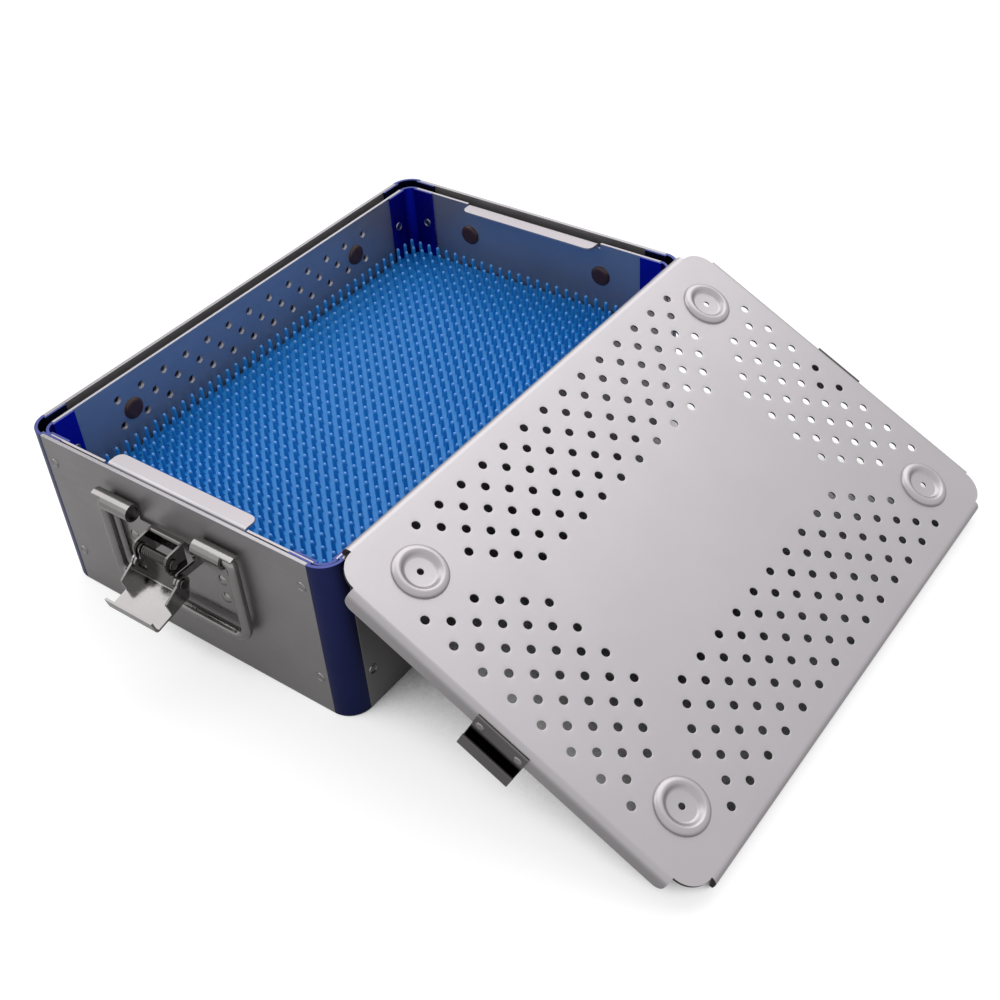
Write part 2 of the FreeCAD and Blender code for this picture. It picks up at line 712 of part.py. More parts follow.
def lid_plate():
    """The flat plate with round corners, its punched holes and four openings for the pressed rings."""
    corners = [(flat_x, flat_y), (-flat_x, flat_y), (-flat_x, -flat_y), (flat_x, -flat_y)]
    outline = rounded_loop([(Vector(x, y, 0), S.lid_corner) for x, y in corners])
    wires = [Part.Wire(Part.__sortEdges__([e.toShape() for e in outline]))]
    for x, y in lid_hole_places():
        around = [2 * math.pi * (k + 0.5) / PUNCH_SIDES for k in range(PUNCH_SIDES)]
        reach = S.hole_width / 2
        ring = [Vector(x + reach * math.cos(a), y + reach * math.sin(a), 0) for a in around]
        wires.append(Part.makePolygon(ring + ring[:1]))
    for x, y in ring_places():
        wires.append(Part.Wire(Part.makeCircle(S.ring_radius, Vector(x, y, 0))))
    face = Part.Face(wires, "Part::FaceMakerBullseye")
    return face.extrude(Vector(0, 0, -S.lid_wall))


def ring_places():
    x, y = ((reach - RING_IN) * S.hole_step for reach in (outer_i, outer_j))
    return [(sx * x, sy * y) for sx in (-1, 1) for sy in (-1, 1)]


def pressed_ring(x, y):
    """A ring pressed up out of the sheet, round a shallow dish with a hole."""
    wall = S.lid_wall
    flank = S.ring_shoulder * S.ring_rise
    crest_out = (S.ring_crest + S.ring_radius) / 2
    points = [
        (S.ring_bore, 0.0),
        (S.ring_dish, 0.0),
        (S.ring_crest, S.ring_rise),
        (crest_out, flank),
        (S.ring_radius, 0.0),
        (S.ring_radius, -wall),
        (S.ring_crest, S.ring_rise - wall),
        (S.ring_dish, -wall),
        (S.ring_bore, -wall),
    ]
    outline = Part.makePolygon([Vector(r, 0, z) for r, z in points + points[:1]])
    ring = Part.Face(outline).revolve(Vector(0, 0, 0), Vector(0, 0, 1), 360)
    ring.translate(Vector(x, y, 0))
    return ring


def skirt(half_across, half_along, corner):
    """One skirt and its bend, along local Y at +X: a bent strip with round lower corners."""
    x = half_across
    points = [(x - S.lid_bend, -S.lid_wall), (x - S.lid_wall, -S.lid_wall), (x - S.lid_wall, -S.lid_skirt)]
    outline = strip_outline(points, S.lid_wall, S.lid_bend - S.lid_wall)
    wire = Part.Wire(Part.__sortEdges__([e.toShape() for e in outline]))
    length = 2 * (half_along - S.lid_bend - corner)
    wire.Placement = Placement(Vector(0, length / 2, 0), Rotation(Vector(1, 0, 0), 90))
    strip = Part.Face(wire).extrude(Vector(0, -length, 0))
    low = [
        e
        for e in strip.Edges
        if abs(e.BoundBox.XLength - S.lid_wall) < TINY
        and abs(centre(e).z + S.lid_skirt) < TINY
        and e.BoundBox.YLength < TINY
    ]
    return strip.makeFillet(S.skirt_round, low)


def lid_shape():
    parts = [lid_plate()] + [pressed_ring(x, y) for x, y in ring_places()]
    for turn in (0, 180):
        for half_across, half_along, quarter in ((lid_half_x, lid_half_y, 0), (lid_half_y, lid_half_x, 90)):
            side = skirt(half_across, half_along, S.lid_corner)
            side.rotate(Vector(), Vector(0, 0, 1), turn + quarter)
            parts.append(side)
    return parts[0].fuse(parts[1:]).removeSplitter().Solids[0]


lid = solid("lid", lid_shape())
lid.Placement = LEAN
node("lid_shell", lid)


def leaned(label, thing, turn=0):
    """A piece built on the flat lid, turned to one end and leaned with the lid."""
    moved = group(label + "_leaned", thing)
    moved.Placement = LEAN.multiply(Placement(Vector(), Rotation(Vector(0, 0, 1), turn)))
    return node(label, moved)


skirt_face = -lid_half_y
catch_points = [
    (skirt_face, -S.catch_top),
    (skirt_face, -S.catch_drop),
    (skirt_face - S.catch_step, -S.catch_drop),
    (skirt_face - S.catch_step, -S.catch_lip),
]
catch = padded_body(
    "catch", "YZ_Plane", strip_outline(catch_points, S.catch_wall, S.catch_bend, side=-1), "catch_width"
)
leaned("catch_strip_front", catch)
leaned("catch_strip_rear", catch, 180)
catch_rivets = []
for i, side in enumerate((-1, 1)):
    head = stud(
        f"catch_rivet_{i}",
        "y",
        "catch_rivet_radius",
        "rivet_proud",
        f"{side} * catch_rivet_reach",
        f"{FRONT} - lid_overhang - catch_wall - rivet_proud",
        "-catch_rivet_drop",
    )
    catch_rivets += [head, turned(f"catch_rivet_turned_{i}", head)]
leaned("catch_rivets", group("catch_rivet_set", *catch_rivets))

# The handle plate with its rolled sleeves, stop tabs and the ears of the lever's hinge


def out(text):
    """The Y of a distance out from the front wall."""
    return f"{FRONT} - ({text})"


def span_out(low, high):
    return (out(high), out(low))


sleeve_radius = "(bail_wire + bail_play + plate_wall)"


def at_both_ends(name, thing):
    """One sub-part at the front, and the same turned half a turn for the rear."""
    node(name + "_front", thing)
    node(name + "_rear", turned(name + "_turned", thing))


flat = rounded(
    "plate_flat",
    block(
        "plate_blank",
        ("-plate_reach", "plate_reach"),
        span_out("0", "plate_wall"),
        ("plate_low", "bail_height"),
    ),
    S.plate_round,
    lambda edge: abs(edge.BoundBox.YLength - S.plate_wall) < TINY and centre(edge).z < S.plate_low + TINY,
)
gap_between = block(
    "plate_gap",
    ("-sleeve_start", "sleeve_start"),
    span_out("-1", "plate_wall + 1"),
    (f"bail_height - {sleeve_radius} - plate_wall", "bail_height + 1"),
)
plate_parts = [cut("plate_notched", flat, gap_between)]
for i, side in enumerate((-1, 1)):
    start = "sleeve_start" if side > 0 else "-sleeve_end"
    tab_start = "sleeve_end" if side > 0 else "-stop_end"
    length = "sleeve_end - sleeve_start"
    outer = rod(f"sleeve_{i}", "x", sleeve_radius, length, start, out(sleeve_radius), "bail_height")
    plate_parts.append(outer)
    tab = rod(
        f"tab_round_{i}", "x", sleeve_radius, "stop_end - sleeve_end", tab_start, out(sleeve_radius),
        "bail_height",
    )
    over = block(
        f"tab_cap_{i}",
        (tab_start, f"{tab_start} + stop_end - sleeve_end"),
        span_out(f"{sleeve_radius} - bail_wire", f"{sleeve_radius} + bail_wire"),
        ("bail_height + bail_wire + bail_play", "bail_height + 2 * bail_wire"),
    )
    common = doc.addObject("Part::Common", f"tab_{i}")
    common.Base = tab
    common.Tool = over
    plate_parts.append(common)
    ear_x = "ear_reach" if side > 0 else "-ear_reach - latch_wall"
    arm = block(
        f"ear_arm_{i}",
        (ear_x, f"{ear_x} + latch_wall"),
        span_out("plate_wall/2", "hinge_out"),
        ("ear_low", "ear_top"),
    )
    arm_root = block(
        f"ear_root_{i}",
        (ear_x, f"{ear_x} + latch_wall"),
        span_out("plate_wall/2", "plate_wall + latch_wall"),
        ("ear_low", "ear_top + 2 * latch_wall"),
    )
    boss = rod(f"ear_boss_{i}", "x", "ear_radius", "latch_wall", ear_x, out("hinge_out"), "hinge_height")
    plate_parts += [arm, arm_root, boss]
plate_solid = fuse("plate_solid", *plate_parts)
bores = [
    rod(
        f"sleeve_bore_{i}",
        "x",
        "bail_wire + bail_play",
        "stop_end - sleeve_start + 2",
        start,
        out(sleeve_radius),
        "bail_height",
    )
    for i, start in enumerate(("-stop_end - 1", "sleeve_start - 1"))
]
bores.append(
    rod(
        "hinge_bore",
        "x",
        "hinge_pin",
        "2 * (ear_reach + latch_wall) + 2",
        "-ear_reach - latch_wall - 1",
        out("hinge_out"),
        "hinge_height",
    )
)
at_both_ends("handle_plate", cut("plate_bored", plate_solid, *bores))

plate_rivets = [
    stud(
        f"plate_rivet_{i}",
        "y",
        "plate_rivet_radius",
        "plate_rivet_proud",
        f"{side} * plate_rivet_reach",
        out("plate_wall + plate_rivet_proud"),
        height,
    )
    for i, (side, height) in enumerate(
        (side, height) for side in (-1, 1) for height in ("plate_rivet_low", "plate_rivet_high")
    )
]
at_both_ends("handle_rivets", group("plate_rivet_set", *plate_rivets))

# The bail: one bent wire, from its hidden end in one sleeve round the grip bar to the other


def bail_shape():
    """A round wire swept along straight runs joined by tangent bends, in the plane of the bail."""
    y = -S.box_length / 2 - (S.bail_wire + S.bail_play + S.plate_wall)
    top, low = S.bail_height, S.bail_height - S.bail_drop
    corners = [
        (-S.bail_tail, top, 0.0),
        (-S.bail_reach, top, S.bail_bend),
        (-S.bail_reach, low, S.grip_bend),
        (S.bail_reach, low, S.grip_bend),
        (S.bail_reach, top, S.bail_bend),
        (S.bail_tail, top, 0.0),
    ]
    edges = []
    last = Vector(corners[0][0], y, corners[0][1])
    for before, (x, z, radius), after in zip(corners, corners[1:], corners[2:]):
        corner = Vector(x, y, z)
        back = (Vector(before[0], y, before[1]) - corner).normalize()
        on = (Vector(after[0], y, after[1]) - corner).normalize()
        start, end = corner + back * radius, corner + on * radius
        nearest = corner + (back + on).normalize() * radius * (math.sqrt(2) - 1)
        edges += [Part.LineSegment(last, start).toShape(), Part.Arc(start, nearest, end).toShape()]
        last = end
    edges.append(Part.LineSegment(last, Vector(corners[-1][0], y, corners[-1][1])).toShape())
    path = Part.Wire(edges)
    around = [2 * math.pi * (k + 0.5) / WIRE_SIDES for k in range(WIRE_SIDES)]
    ring = [
        Vector(-S.bail_tail, y + S.bail_wire * math.cos(a), top + S.bail_wire * math.sin(a)) for a in around
    ]
    return path.makePipeShell([Part.makePolygon(ring + ring[:1])], True, False)


at_both_ends("bail_handle", solid("bail", bail_shape()))

# The lever: a finger plate with a lip, an upright web with a tongue, and a cheek on each side

slope = math.radians(S.finger_slope)
finger_reach = (S.finger_out - S.web_out) / math.cos(slope)
lip_base = (S.finger_out, S.web_low - finger_reach * math.sin(slope))
lip_tip = (lip_base[0] + S.lip_rise * math.sin(slope), lip_base[1] + S.lip_rise * math.cos(slope))
front_y = -S.box_length / 2


def section(points):
    """Points given as distance out from the front wall and height, in the YZ plane."""
    return [(front_y - u, z) for u, z in points]


web_points = [(S.web_out, S.tongue_top), (S.web_out, S.web_low), lip_base, lip_tip]
lever_sheet = padded_body(
    "lever_sheet",
    "YZ_Plane",
    strip_outline(section(web_points), S.latch_wall, S.lever_bend),
    "2 * (cheek_reach + latch_wall)",
)
cheek_end = (
    S.web_out + S.cheek_length * math.cos(slope),
    S.web_low - S.cheek_length * math.sin(slope),
)
cheek_top = (cheek_end[0] + S.cheek_rise * math.sin(slope), cheek_end[1] + S.cheek_rise * math.cos(slope))
hinge_y = front_y - S.hinge_out
# Corner radii of a cheek, from the fold at its foot round the outside to the pivot's eye
CHEEK_ROUNDS = (1.5, 0.8, 1.0, 2.0, 0.0, 0.0)


def cheek(side):
    """A side cheek: from the pivot's eye along the finger plate, its top edge falling outwards."""
    eye = S.ear_radius
    corners = [
        (S.web_out - S.latch_wall, S.web_low - S.latch_wall),
        cheek_end,
        cheek_top,
        (S.hinge_out + eye, S.hinge_height + S.cheek_shoulder),
        (S.hinge_out, S.hinge_height + eye),
        (S.hinge_out - eye, S.hinge_height),
    ]
    loop = rounded_loop([(Vector(front_y - u, z, 0), r) for (u, z), r in zip(corners, CHEEK_ROUNDS)])
    wire = Part.Wire(Part.__sortEdges__([e.toShape() for e in loop]))
    start = S.cheek_reach if side > 0 else -S.cheek_reach - S.latch_wall
    wire.Placement = Placement(
        Vector(start, 0, 0), Rotation(Vector(0, 1, 0), Vector(0, 0, 1), Vector(1, 0, 0))
    )
    flank = Part.Face(wire).extrude(Vector(S.latch_wall, 0, 0))
    disc = Part.makeCylinder(eye, S.latch_wall, Vector(start, hinge_y, S.hinge_height), Vector(1, 0, 0))
    return flank.fuse(disc).removeSplitter()


notches = [
    block(
        f"lever_notch_{i}",
        (start, end),
        span_out("web_out - 2 * latch_wall", "web_out + latch_wall"),
        ("web_notch", "tongue_top + 5"),
    )
    for i, (start, end) in enumerate(
        (("-cheek_reach - latch_wall - 1", "-tongue_reach"), ("tongue_reach", "cheek_reach + latch_wall + 1"))
    )
]
tongue = cut("lever_notched", lever_sheet, *notches)
eyes = []
for i, start in enumerate(("-tongue_reach", "tongue_reach - latch_wall")):
    eyes.append(rod(f"eye_{i}", "x", "eye_radius", "latch_wall", start, out("claw_out"), "claw_height"))
    eyes.append(
        block(
            f"eye_foot_{i}",
            (start, f"{start} + latch_wall"),
            span_out("claw_out - eye_radius", "claw_out + eye_radius"),
            ("tongue_top - latch_wall", "claw_height"),
        )
    )
cheeks = [solid(f"lever_cheek_{i}", cheek(side)) for i, side in enumerate((-1, 1))]
lever_solid = fuse("lever_solid", tongue, *cheeks, *eyes)
lever_bores = [
    rod(
        "claw_pin_bore",
        "x",
        "claw_pin",
        "2 * tongue_reach + 2",
        "-tongue_reach - 1",
        out("claw_out"),
        "claw_height",
    )
]
for i, start in enumerate(("cheek_reach - 1", "-cheek_reach - latch_wall - 1")):
    bore = rod(
        f"lever_hinge_bore_{i}",
        "x",
        "hinge_pin + running_play",
        "latch_wall + 2",
        start,
        out("hinge_out"),
        "hinge_height",
    )
    lever_bores.append(bore)
at_both_ends("latch_lever", cut("lever_bored", lever_solid, *lever_bores))

hinge_pins = []
for i, side in enumerate((-1, 1)):
    stem_start = "ear_reach" if side > 0 else "-cheek_reach - latch_wall - side_play"
    stem = rod(
        f"hinge_stem_{i}",
        "x",
        "hinge_pin",
        "cheek_reach + latch_wall + side_play - ear_reach",
        stem_start,
        out("hinge_out"),
        "hinge_height",
    )
    head_start = "cheek_reach + latch_wall + side_play"
    if side < 0:
        head_start = f"-({head_start}) - pin_head_wall"
    head = rod(
        f"hinge_head_{i}", "x", "pin_head", "pin_head_wall", head_start, out("hinge_out"), "hinge_height"
    )
    hinge_pins.append(fuse(f"hinge_rivet_{i}", stem, head))
at_both_ends("lever_pivots", group("hinge_rivet_pair", *hinge_pins))

# The claw: a U bracket that hangs on the tongue's pin and hooks over the lid's catch

claw_width = "2 * (claw_reach + latch_wall)"
claw_points = [
    (S.claw_back_out - S.claw_hook, S.claw_top),
    (S.claw_back_out + S.latch_wall, S.claw_top),
    (S.claw_back_out + S.latch_wall, S.claw_window),
]
claw_back = padded_body(
    "claw_back", "YZ_Plane", strip_outline(section(claw_points), S.latch_wall, S.claw_bend), claw_width
)


def claw_cheek(side):
    """A claw cheek: straight at the back, round at the front about its pin."""
    front = S.claw_out + S.claw_round
    corners = [
        (S.claw_back_out, S.claw_low, S.claw_heel),
        (front, S.claw_low, S.claw_round),
        (front, S.claw_top - S.claw_fall, S.claw_round),
        (S.claw_back_out, S.claw_top, 0.0),
    ]
    loop = rounded_loop([(Vector(front_y - u, z, 0), r) for u, z, r in corners])
    wire = Part.Wire(Part.__sortEdges__([e.toShape() for e in loop]))
    start = S.claw_reach if side > 0 else -S.claw_reach - S.latch_wall
    wire.Placement = Placement(
        Vector(start, 0, 0), Rotation(Vector(0, 1, 0), Vector(0, 0, 1), Vector(1, 0, 0))
    )
    return Part.Face(wire).extrude(Vector(S.latch_wall, 0, 0))


claw_cheeks = [solid(f"claw_cheek_{i}", claw_cheek(side)) for i, side in enumerate((-1, 1))]
claw_bore = rod(
    "claw_bore",
    "x",
    "claw_pin + running_play",
    f"{claw_width} + 2",
    "-claw_reach - latch_wall - 1",
    out("claw_out"),
    "claw_height",
)
at_both_ends("latch_claw", cut("claw_bored", fuse("claw_solid", claw_back, *claw_cheeks), claw_bore))

pin_half = "(claw_reach + latch_wall + side_play)"
pin_stem = rod("pin_stem", "x", "claw_pin", f"2 * {pin_half}", f"-{pin_half}", out("claw_out"), "claw_height")
pin_heads = [
    rod(f"pin_head_{i}", "x", "pin_head", "pin_head_wall", start, out("claw_out"), "claw_height")
    for i, start in enumerate((f"-{pin_half} - pin_head_wall", pin_half))
]
at_both_ends("claw_pin", fuse("claw_pin_solid", pin_stem, *pin_heads))


spring_half = "(tongue_reach - latch_wall - side_play)"
spring_core = stud(
    "spring_core",
    "x",
    "spring_radius - coil_relief * spring_wire",
    f"2 * {spring_half}",
    f"-{spring_half}",
    out("claw_out"),
    "claw_height",
)
spring_coils = [
    stud(
        f"spring_coil_{i}",
        "x",
        "spring_radius",
        f"2 * coil_share * {spring_half} / spring_turns",
        f"-{spring_half} + ({i} + (1 - coil_share) / 2) * 2 * {spring_half} / spring_turns",
        out("claw_out"),
        "claw_height",
    )
    for i in range(int(S.spring_turns))
]
spring_bore = rod(
    "spring_bore",
    "x",
    "claw_pin + running_play",
    f"2 * {spring_half} + 2",
    f"-{spring_half} - 1",
    out("claw_out"),
    "claw_height",
)
spring = cut("spring", fuse("spring_turns_solid", spring_core, *spring_coils), spring_bore)
at_both_ends("claw_spring", spring)

# Checks and files

doc.recompute()
for thing in doc.Objects:
    if {"Invalid", "Error"} & set(thing.State):
        raise SystemExit(f"{thing.Label} failed: {thing.State}")
for label, thing in NODES.items():
    shape = thing.Shape
    if shape.isNull() or not shape.isValid() or not shape.Solids:
        raise SystemExit(f"{label} has no valid solid")
for label, thing in NODES.items():
    thing.Shape.exportStep(f"parts/{label}.step")
print(len(NODES), "sub-parts written")
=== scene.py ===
import json
import math

import bmesh
import bpy
import numpy as np
from mathutils import Matrix, Vector

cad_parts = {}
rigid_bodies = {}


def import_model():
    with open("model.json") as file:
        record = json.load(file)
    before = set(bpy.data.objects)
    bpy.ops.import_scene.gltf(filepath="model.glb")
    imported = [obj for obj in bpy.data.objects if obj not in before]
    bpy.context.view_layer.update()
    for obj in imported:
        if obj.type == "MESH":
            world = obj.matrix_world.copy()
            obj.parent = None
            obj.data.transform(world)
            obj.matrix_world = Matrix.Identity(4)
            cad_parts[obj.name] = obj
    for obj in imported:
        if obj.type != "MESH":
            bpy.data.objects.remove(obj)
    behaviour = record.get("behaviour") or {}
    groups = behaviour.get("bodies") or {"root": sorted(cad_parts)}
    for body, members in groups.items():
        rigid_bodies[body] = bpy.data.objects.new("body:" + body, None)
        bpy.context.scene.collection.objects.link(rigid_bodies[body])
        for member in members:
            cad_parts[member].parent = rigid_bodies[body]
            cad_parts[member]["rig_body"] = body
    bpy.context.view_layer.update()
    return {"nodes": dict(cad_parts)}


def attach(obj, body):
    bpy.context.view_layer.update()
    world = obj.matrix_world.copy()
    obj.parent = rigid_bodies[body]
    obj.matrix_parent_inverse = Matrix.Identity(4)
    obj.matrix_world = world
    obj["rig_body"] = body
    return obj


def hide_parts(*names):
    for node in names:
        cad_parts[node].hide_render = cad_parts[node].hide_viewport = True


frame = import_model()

MM = 0.001

# Box panels, base plate and tray ledges.
# Flat panels of 2 mm aluminium sheet and a vented floor, ground to a satin grain that runs lengthwise.
# The solids have the right shape already: each is copied, and its sharp edges are broken a little.

PANEL_SHADES = ("#9A9798", "#8A8889")
# A little paler than the sheet: a painted highlight on the top edges of the panels.
SAWN_EDGE_HIGHLIGHT_SHADES = ("#A19EA2", "#928F93")
PANEL_EDGE = 0.25 * MM
PATCH = 30 * MM
CAD_SEAM = 0.002 * MM
FLAT_TURN = math.radians(1.0)
SHARP_TURN = math.radians(32)
UPWARD = 0.99
PATCH_DETAIL, GRAIN_DETAIL = 3.0, 2.0
GRAIN_LOW, GRAIN_HIGH = 0.3, 0.7


def linear(code):
    """A colour written as sRGB hex, as linear red, green, blue and alpha: the sRGB curve undone."""
    parts = [int(code[k : k + 2], 16) / 255 for k in (1, 3, 5)]
    return [p / 12.92 if p <= 0.04045 else ((p + 0.055) / 1.055) ** 2.4 for p in parts] + [1.0]


def add(tree, kind, inputs=(), **settings):
    """Adds a node: settings are its properties, and each input gets a value or another node's output."""
    made = tree.nodes.new(kind)
    for key, value in settings.items():
        setattr(made, key, value)
    for key, value in dict(inputs).items():
        if isinstance(value, bpy.types.NodeSocket):
            tree.links.new(value, made.inputs[key])
        else:
            made.inputs[key].default_value = value
    return made


def finish_of(name, shades, metallic, roughness, spread, grain, depth):
    """A material whose colour wanders between two shades over patches, with a fine grain.

    The grain is noise stretched to its size along each axis: it presses the surface in by the depth
    and moves the roughness by the spread.
    """
    material = bpy.data.materials.new(name)
    material.use_nodes = True
    tree = material.node_tree
    shader = tree.nodes["Principled BSDF"]
    shader.inputs["Metallic"].default_value = metallic
    place = add(tree, "ShaderNodeTexCoord").outputs["Object"]
    broad = {"Vector": place, "Scale": 1 / PATCH, "Detail": PATCH_DETAIL}
    patches = add(tree, "ShaderNodeTexNoise", broad)
    both = {0: patches.outputs["Fac"], 6: linear(shades[0]), 7: linear(shades[1])}
    colour = add(tree, "ShaderNodeMix", both, data_type="RGBA")
    tree.links.new(colour.outputs[2], shader.inputs["Base Color"])
    stretch = {"Vector": place, "Scale": [1 / size for size in grain]}
    stretched = add(tree, "ShaderNodeMapping", stretch).outputs["Vector"]
    drawn = {"Vector": stretched, "Scale": 1.0, "Detail": GRAIN_DETAIL}
    lines = add(tree, "ShaderNodeTexNoise", drawn)
    limits = {
        "Value": lines.outputs["Fac"],
        "From Min": GRAIN_LOW,
        "From Max": GRAIN_HIGH,
        "To Min": roughness - spread,
        "To Max": roughness + spread,
    }
    rough = add(tree, "ShaderNodeMapRange", limits)
    tree.links.new(rough.outputs["Result"], shader.inputs["Roughness"])
    press = {"Height": lines.outputs["Fac"], "Distance": depth, "Strength": 1.0}
    bump = add(tree, "ShaderNodeBump", press)
    tree.links.new(bump.outputs["Normal"], shader.inputs["Normal"])
    return material


# Ground aluminium sheet: a soft grey mirror. The grain is drawn 0.9 mm wide, coarser than the real
# one, so that it shows.
ground_sheet = finish_of(
    "ground_aluminium_sheet",
    PANEL_SHADES,
    metallic=0.8,
    roughness=0.44,
    spread=0.05,
    grain=(25 * MM, 25 * MM, 0.9 * MM),
    depth=0.004 * MM,
)
# The sawn and brushed edge of the sheet, on the faces that look up: bright and smoother, with no
# direction; its paler colour is a painted highlight.
sawn_edge_with_painted_highlight = finish_of(
    "sawn_aluminium_edge_painted_highlight",
    SAWN_EDGE_HIGHLIGHT_SHADES,
    metallic=1.0,
    roughness=0.30,
    spread=0.05,
    grain=(0.8 * MM, 0.8 * MM, 0.8 * MM),
    depth=0.004 * MM,
)


def traced(node):
    """A CAD node's own points and triangles, with its doubled points merged and its flats made whole."""
    source = frame["nodes"][node].data
    shape = bmesh.new()
    shape.from_mesh(source)
    bmesh.ops.remove_doubles(shape, verts=shape.verts, dist=CAD_SEAM)
    bmesh.ops.dissolve_limit(shape, angle_limit=FLAT_TURN, verts=shape.verts, edges=shape.edges)
    mesh = bpy.data.meshes.new(node + "_finished")
    shape.to_mesh(mesh)
    shape.free()
    while mesh.attributes.get("custom_normal"):
        mesh.attributes.remove(mesh.attributes["custom_normal"])
    return mesh


def shown(name, mesh, body, nodes, sharp=SHARP_TURN):
    """Puts a mesh into the scene as a piece that rides on a body and stands for the CAD nodes."""
    made = bpy.data.objects.new(name, mesh)
    bpy.context.scene.collection.objects.link(made)
    mesh.polygons.foreach_set("use_smooth", np.ones(len(mesh.polygons), bool))
    mesh.set_sharp_from_angle(angle=sharp)
    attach(made, body)
    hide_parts(*nodes)
    return made


def dressed(nodes, material, edge, top=None, sharp=SHARP_TURN):
    """Shows each CAD node as a copy with its sharp edges rounded by a bevel, two faces wide.

    Where a second material is given, it goes on the faces that look straight up. Faces that turn
    less than the sharp angle are shaded as one round.
    """
    for node in nodes:
        mesh = traced(node)
        mesh.materials.clear()
        mesh.materials.append(material)
        if top:
            mesh.materials.append(top)
            facing = np.empty(len(mesh.polygons) * 3)
            mesh.polygons.foreach_get("normal", facing)
            upward = (facing.reshape(-1, 3)[:, 2] > UPWARD).astype(np.int32)
            mesh.polygons.foreach_set("material_index", upward)
        else:
            mesh.polygons.foreach_set("material_index", np.zeros(len(mesh.polygons), np.int32))
        made = shown(node + "_finished", mesh, frame["nodes"][node]["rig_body"], [node], sharp)
        soften = made.modifiers.new("broken_edges", "BEVEL")
        soften.width = edge
        soften.segments = 2
        soften.limit_method = "ANGLE"
        soften.angle_limit = sharp
        soften.use_clamp_overlap = True
        soften.harden_normals = True


dressed(
    ["end_panel_front", "end_panel_rear", "side_panel_left", "side_panel_right"],
    ground_sheet,
    PANEL_EDGE,
    sawn_edge_with_painted_highlight,
)
dressed(
    ["base_plate", "tray_ledge_left", "tray_ledge_right"], ground_sheet, PANEL_EDGE
)

# Corner posts of the box.
# Extruded aluminium section, a quarter round with two legs behind the panels, cut to length and then
# anodised blue, ends and all. The drawing lines of the die run up the post.

BLUE_SHADES = ("#2B3162", "#232854")
# Paler blue for the ends that look up: painted highlight.
BLUE_END_HIGHLIGHT_SHADES = ("#4B528A", "#434A7E")
CORNERS = ("front_left", "front_right", "rear_left", "rear_right")
POST_EDGE = 0.2 * MM

# Blue anodised extrusion: the dyed oxide film colours the mirror under it.
blue_anodised = finish_of(
    "blue_anodised_extrusion",
    BLUE_SHADES,
    metallic=1.0,
    roughness=0.34,
    spread=0.05,
    grain=(0.7 * MM, 0.7 * MM, 40 * MM),
    depth=0.004 * MM,
)
# The same film on the sawn ends that look up, painted paler: a painted highlight for the light that
# falls on them.
blue_ends_painted_highlight = finish_of(
    "blue_anodised_end_painted_highlight",
    BLUE_END_HIGHLIGHT_SHADES,
    metallic=1.0,
    roughness=0.40,
    spread=0.05,
    grain=(0.6 * MM, 0.6 * MM, 0.6 * MM),
    depth=0.004 * MM,
)
dressed(
    ["box_post_" + c for c in CORNERS], blue_anodised, POST_EDGE, blue_ends_painted_highlight
)

# Rivets of the panels and of the ledges.
# Aluminium rivets with low heads, set with a press, whose punch leaves a raised rim round a dished
# face.

BOX_HALF = (97.5, 147.0)
PANEL_RIVET_INSET = 17.0
PANEL_RIVET_HEIGHTS = (21.5, 78.0)
LEDGE_RIVETS = {"reach": 98.0, "out": 94.0, "height": 38.25}
# Points of a head's profile: radius and height, from its middle out and back under it.
LOW_HEAD = (
    (0, 0.16), (1.0, 0.16), (1.6, 0.1), (1.8, 0.2), (2.1, 0.44),
    (2.3, 0.5), (2.5, 0.38), (2.65, 0.0), (0, 0.0),
)
RIVET_SHADES = ("#9B999A", "#8A8889")
HEAD_SIDES = 32
POINT_SEAM = 0.005 * MM

# Pressed aluminium: brighter than the sheet, as the press has burnished it.
rivet_metal = finish_of(
    "pressed_aluminium_rivet",
    RIVET_SHADES,
    metallic=1.0,
    roughness=0.28,
    spread=0.05,
    grain=(0.9 * MM, 0.9 * MM, 0.9 * MM),
    depth=0.003 * MM,
)


def quads(rows, columns, closed):
    """Faces of a grid of rows by columns points, counted row by row; closed joins the last column on."""
    i, j = np.meshgrid(np.arange(rows - 1), np.arange(columns if closed else columns - 1), indexing="ij")
    on = (j + 1) % columns
    this, following = i * columns, (i + 1) * columns
    return np.stack([this + j, this + on, following + on, following + j], -1).reshape(-1, 4)


def repeated(faces, copies, count):
    """The same faces for each of several copies that have count points each."""
    return (faces + count * np.arange(copies)[:, None, None]).reshape(-1, faces.shape[1])


def heads(profile, centres, outward, sides=HEAD_SIDES):
    """Turned heads: the profile's radius and height, turned round each outward direction.

    A point is the centre, plus radius times cosine and sine along two directions square to the
    outward one, plus height along it.
    """
    centres, outward = np.array(centres, float), np.array(outward, float)
    level = np.cross(outward, (0, 0, 1))
    other = np.cross(outward, level)
    angle = np.arange(sides) * 2 * np.pi / sides
    radius, height = np.array(profile, float).T
    points = (
        centres[:, None, None]
        + radius[:, None, None] * np.cos(angle)[:, None] * level[:, None, None]
        + radius[:, None, None] * np.sin(angle)[:, None] * other[:, None, None]
        + height[:, None, None] * outward[:, None, None]
    )
    faces = repeated(quads(len(profile), sides, True), len(centres), len(profile) * sides)
    return points.reshape(-1, 3), [faces]


def joined(*parts):
    """Several surfaces, each points and lists of faces, numbered on into one."""
    points, faces, start = [], [], 0
    for own, own_faces in parts:
        points.append(own)
        faces += [f + start for f in own_faces]
        start += len(own)
    return np.concatenate(points), faces


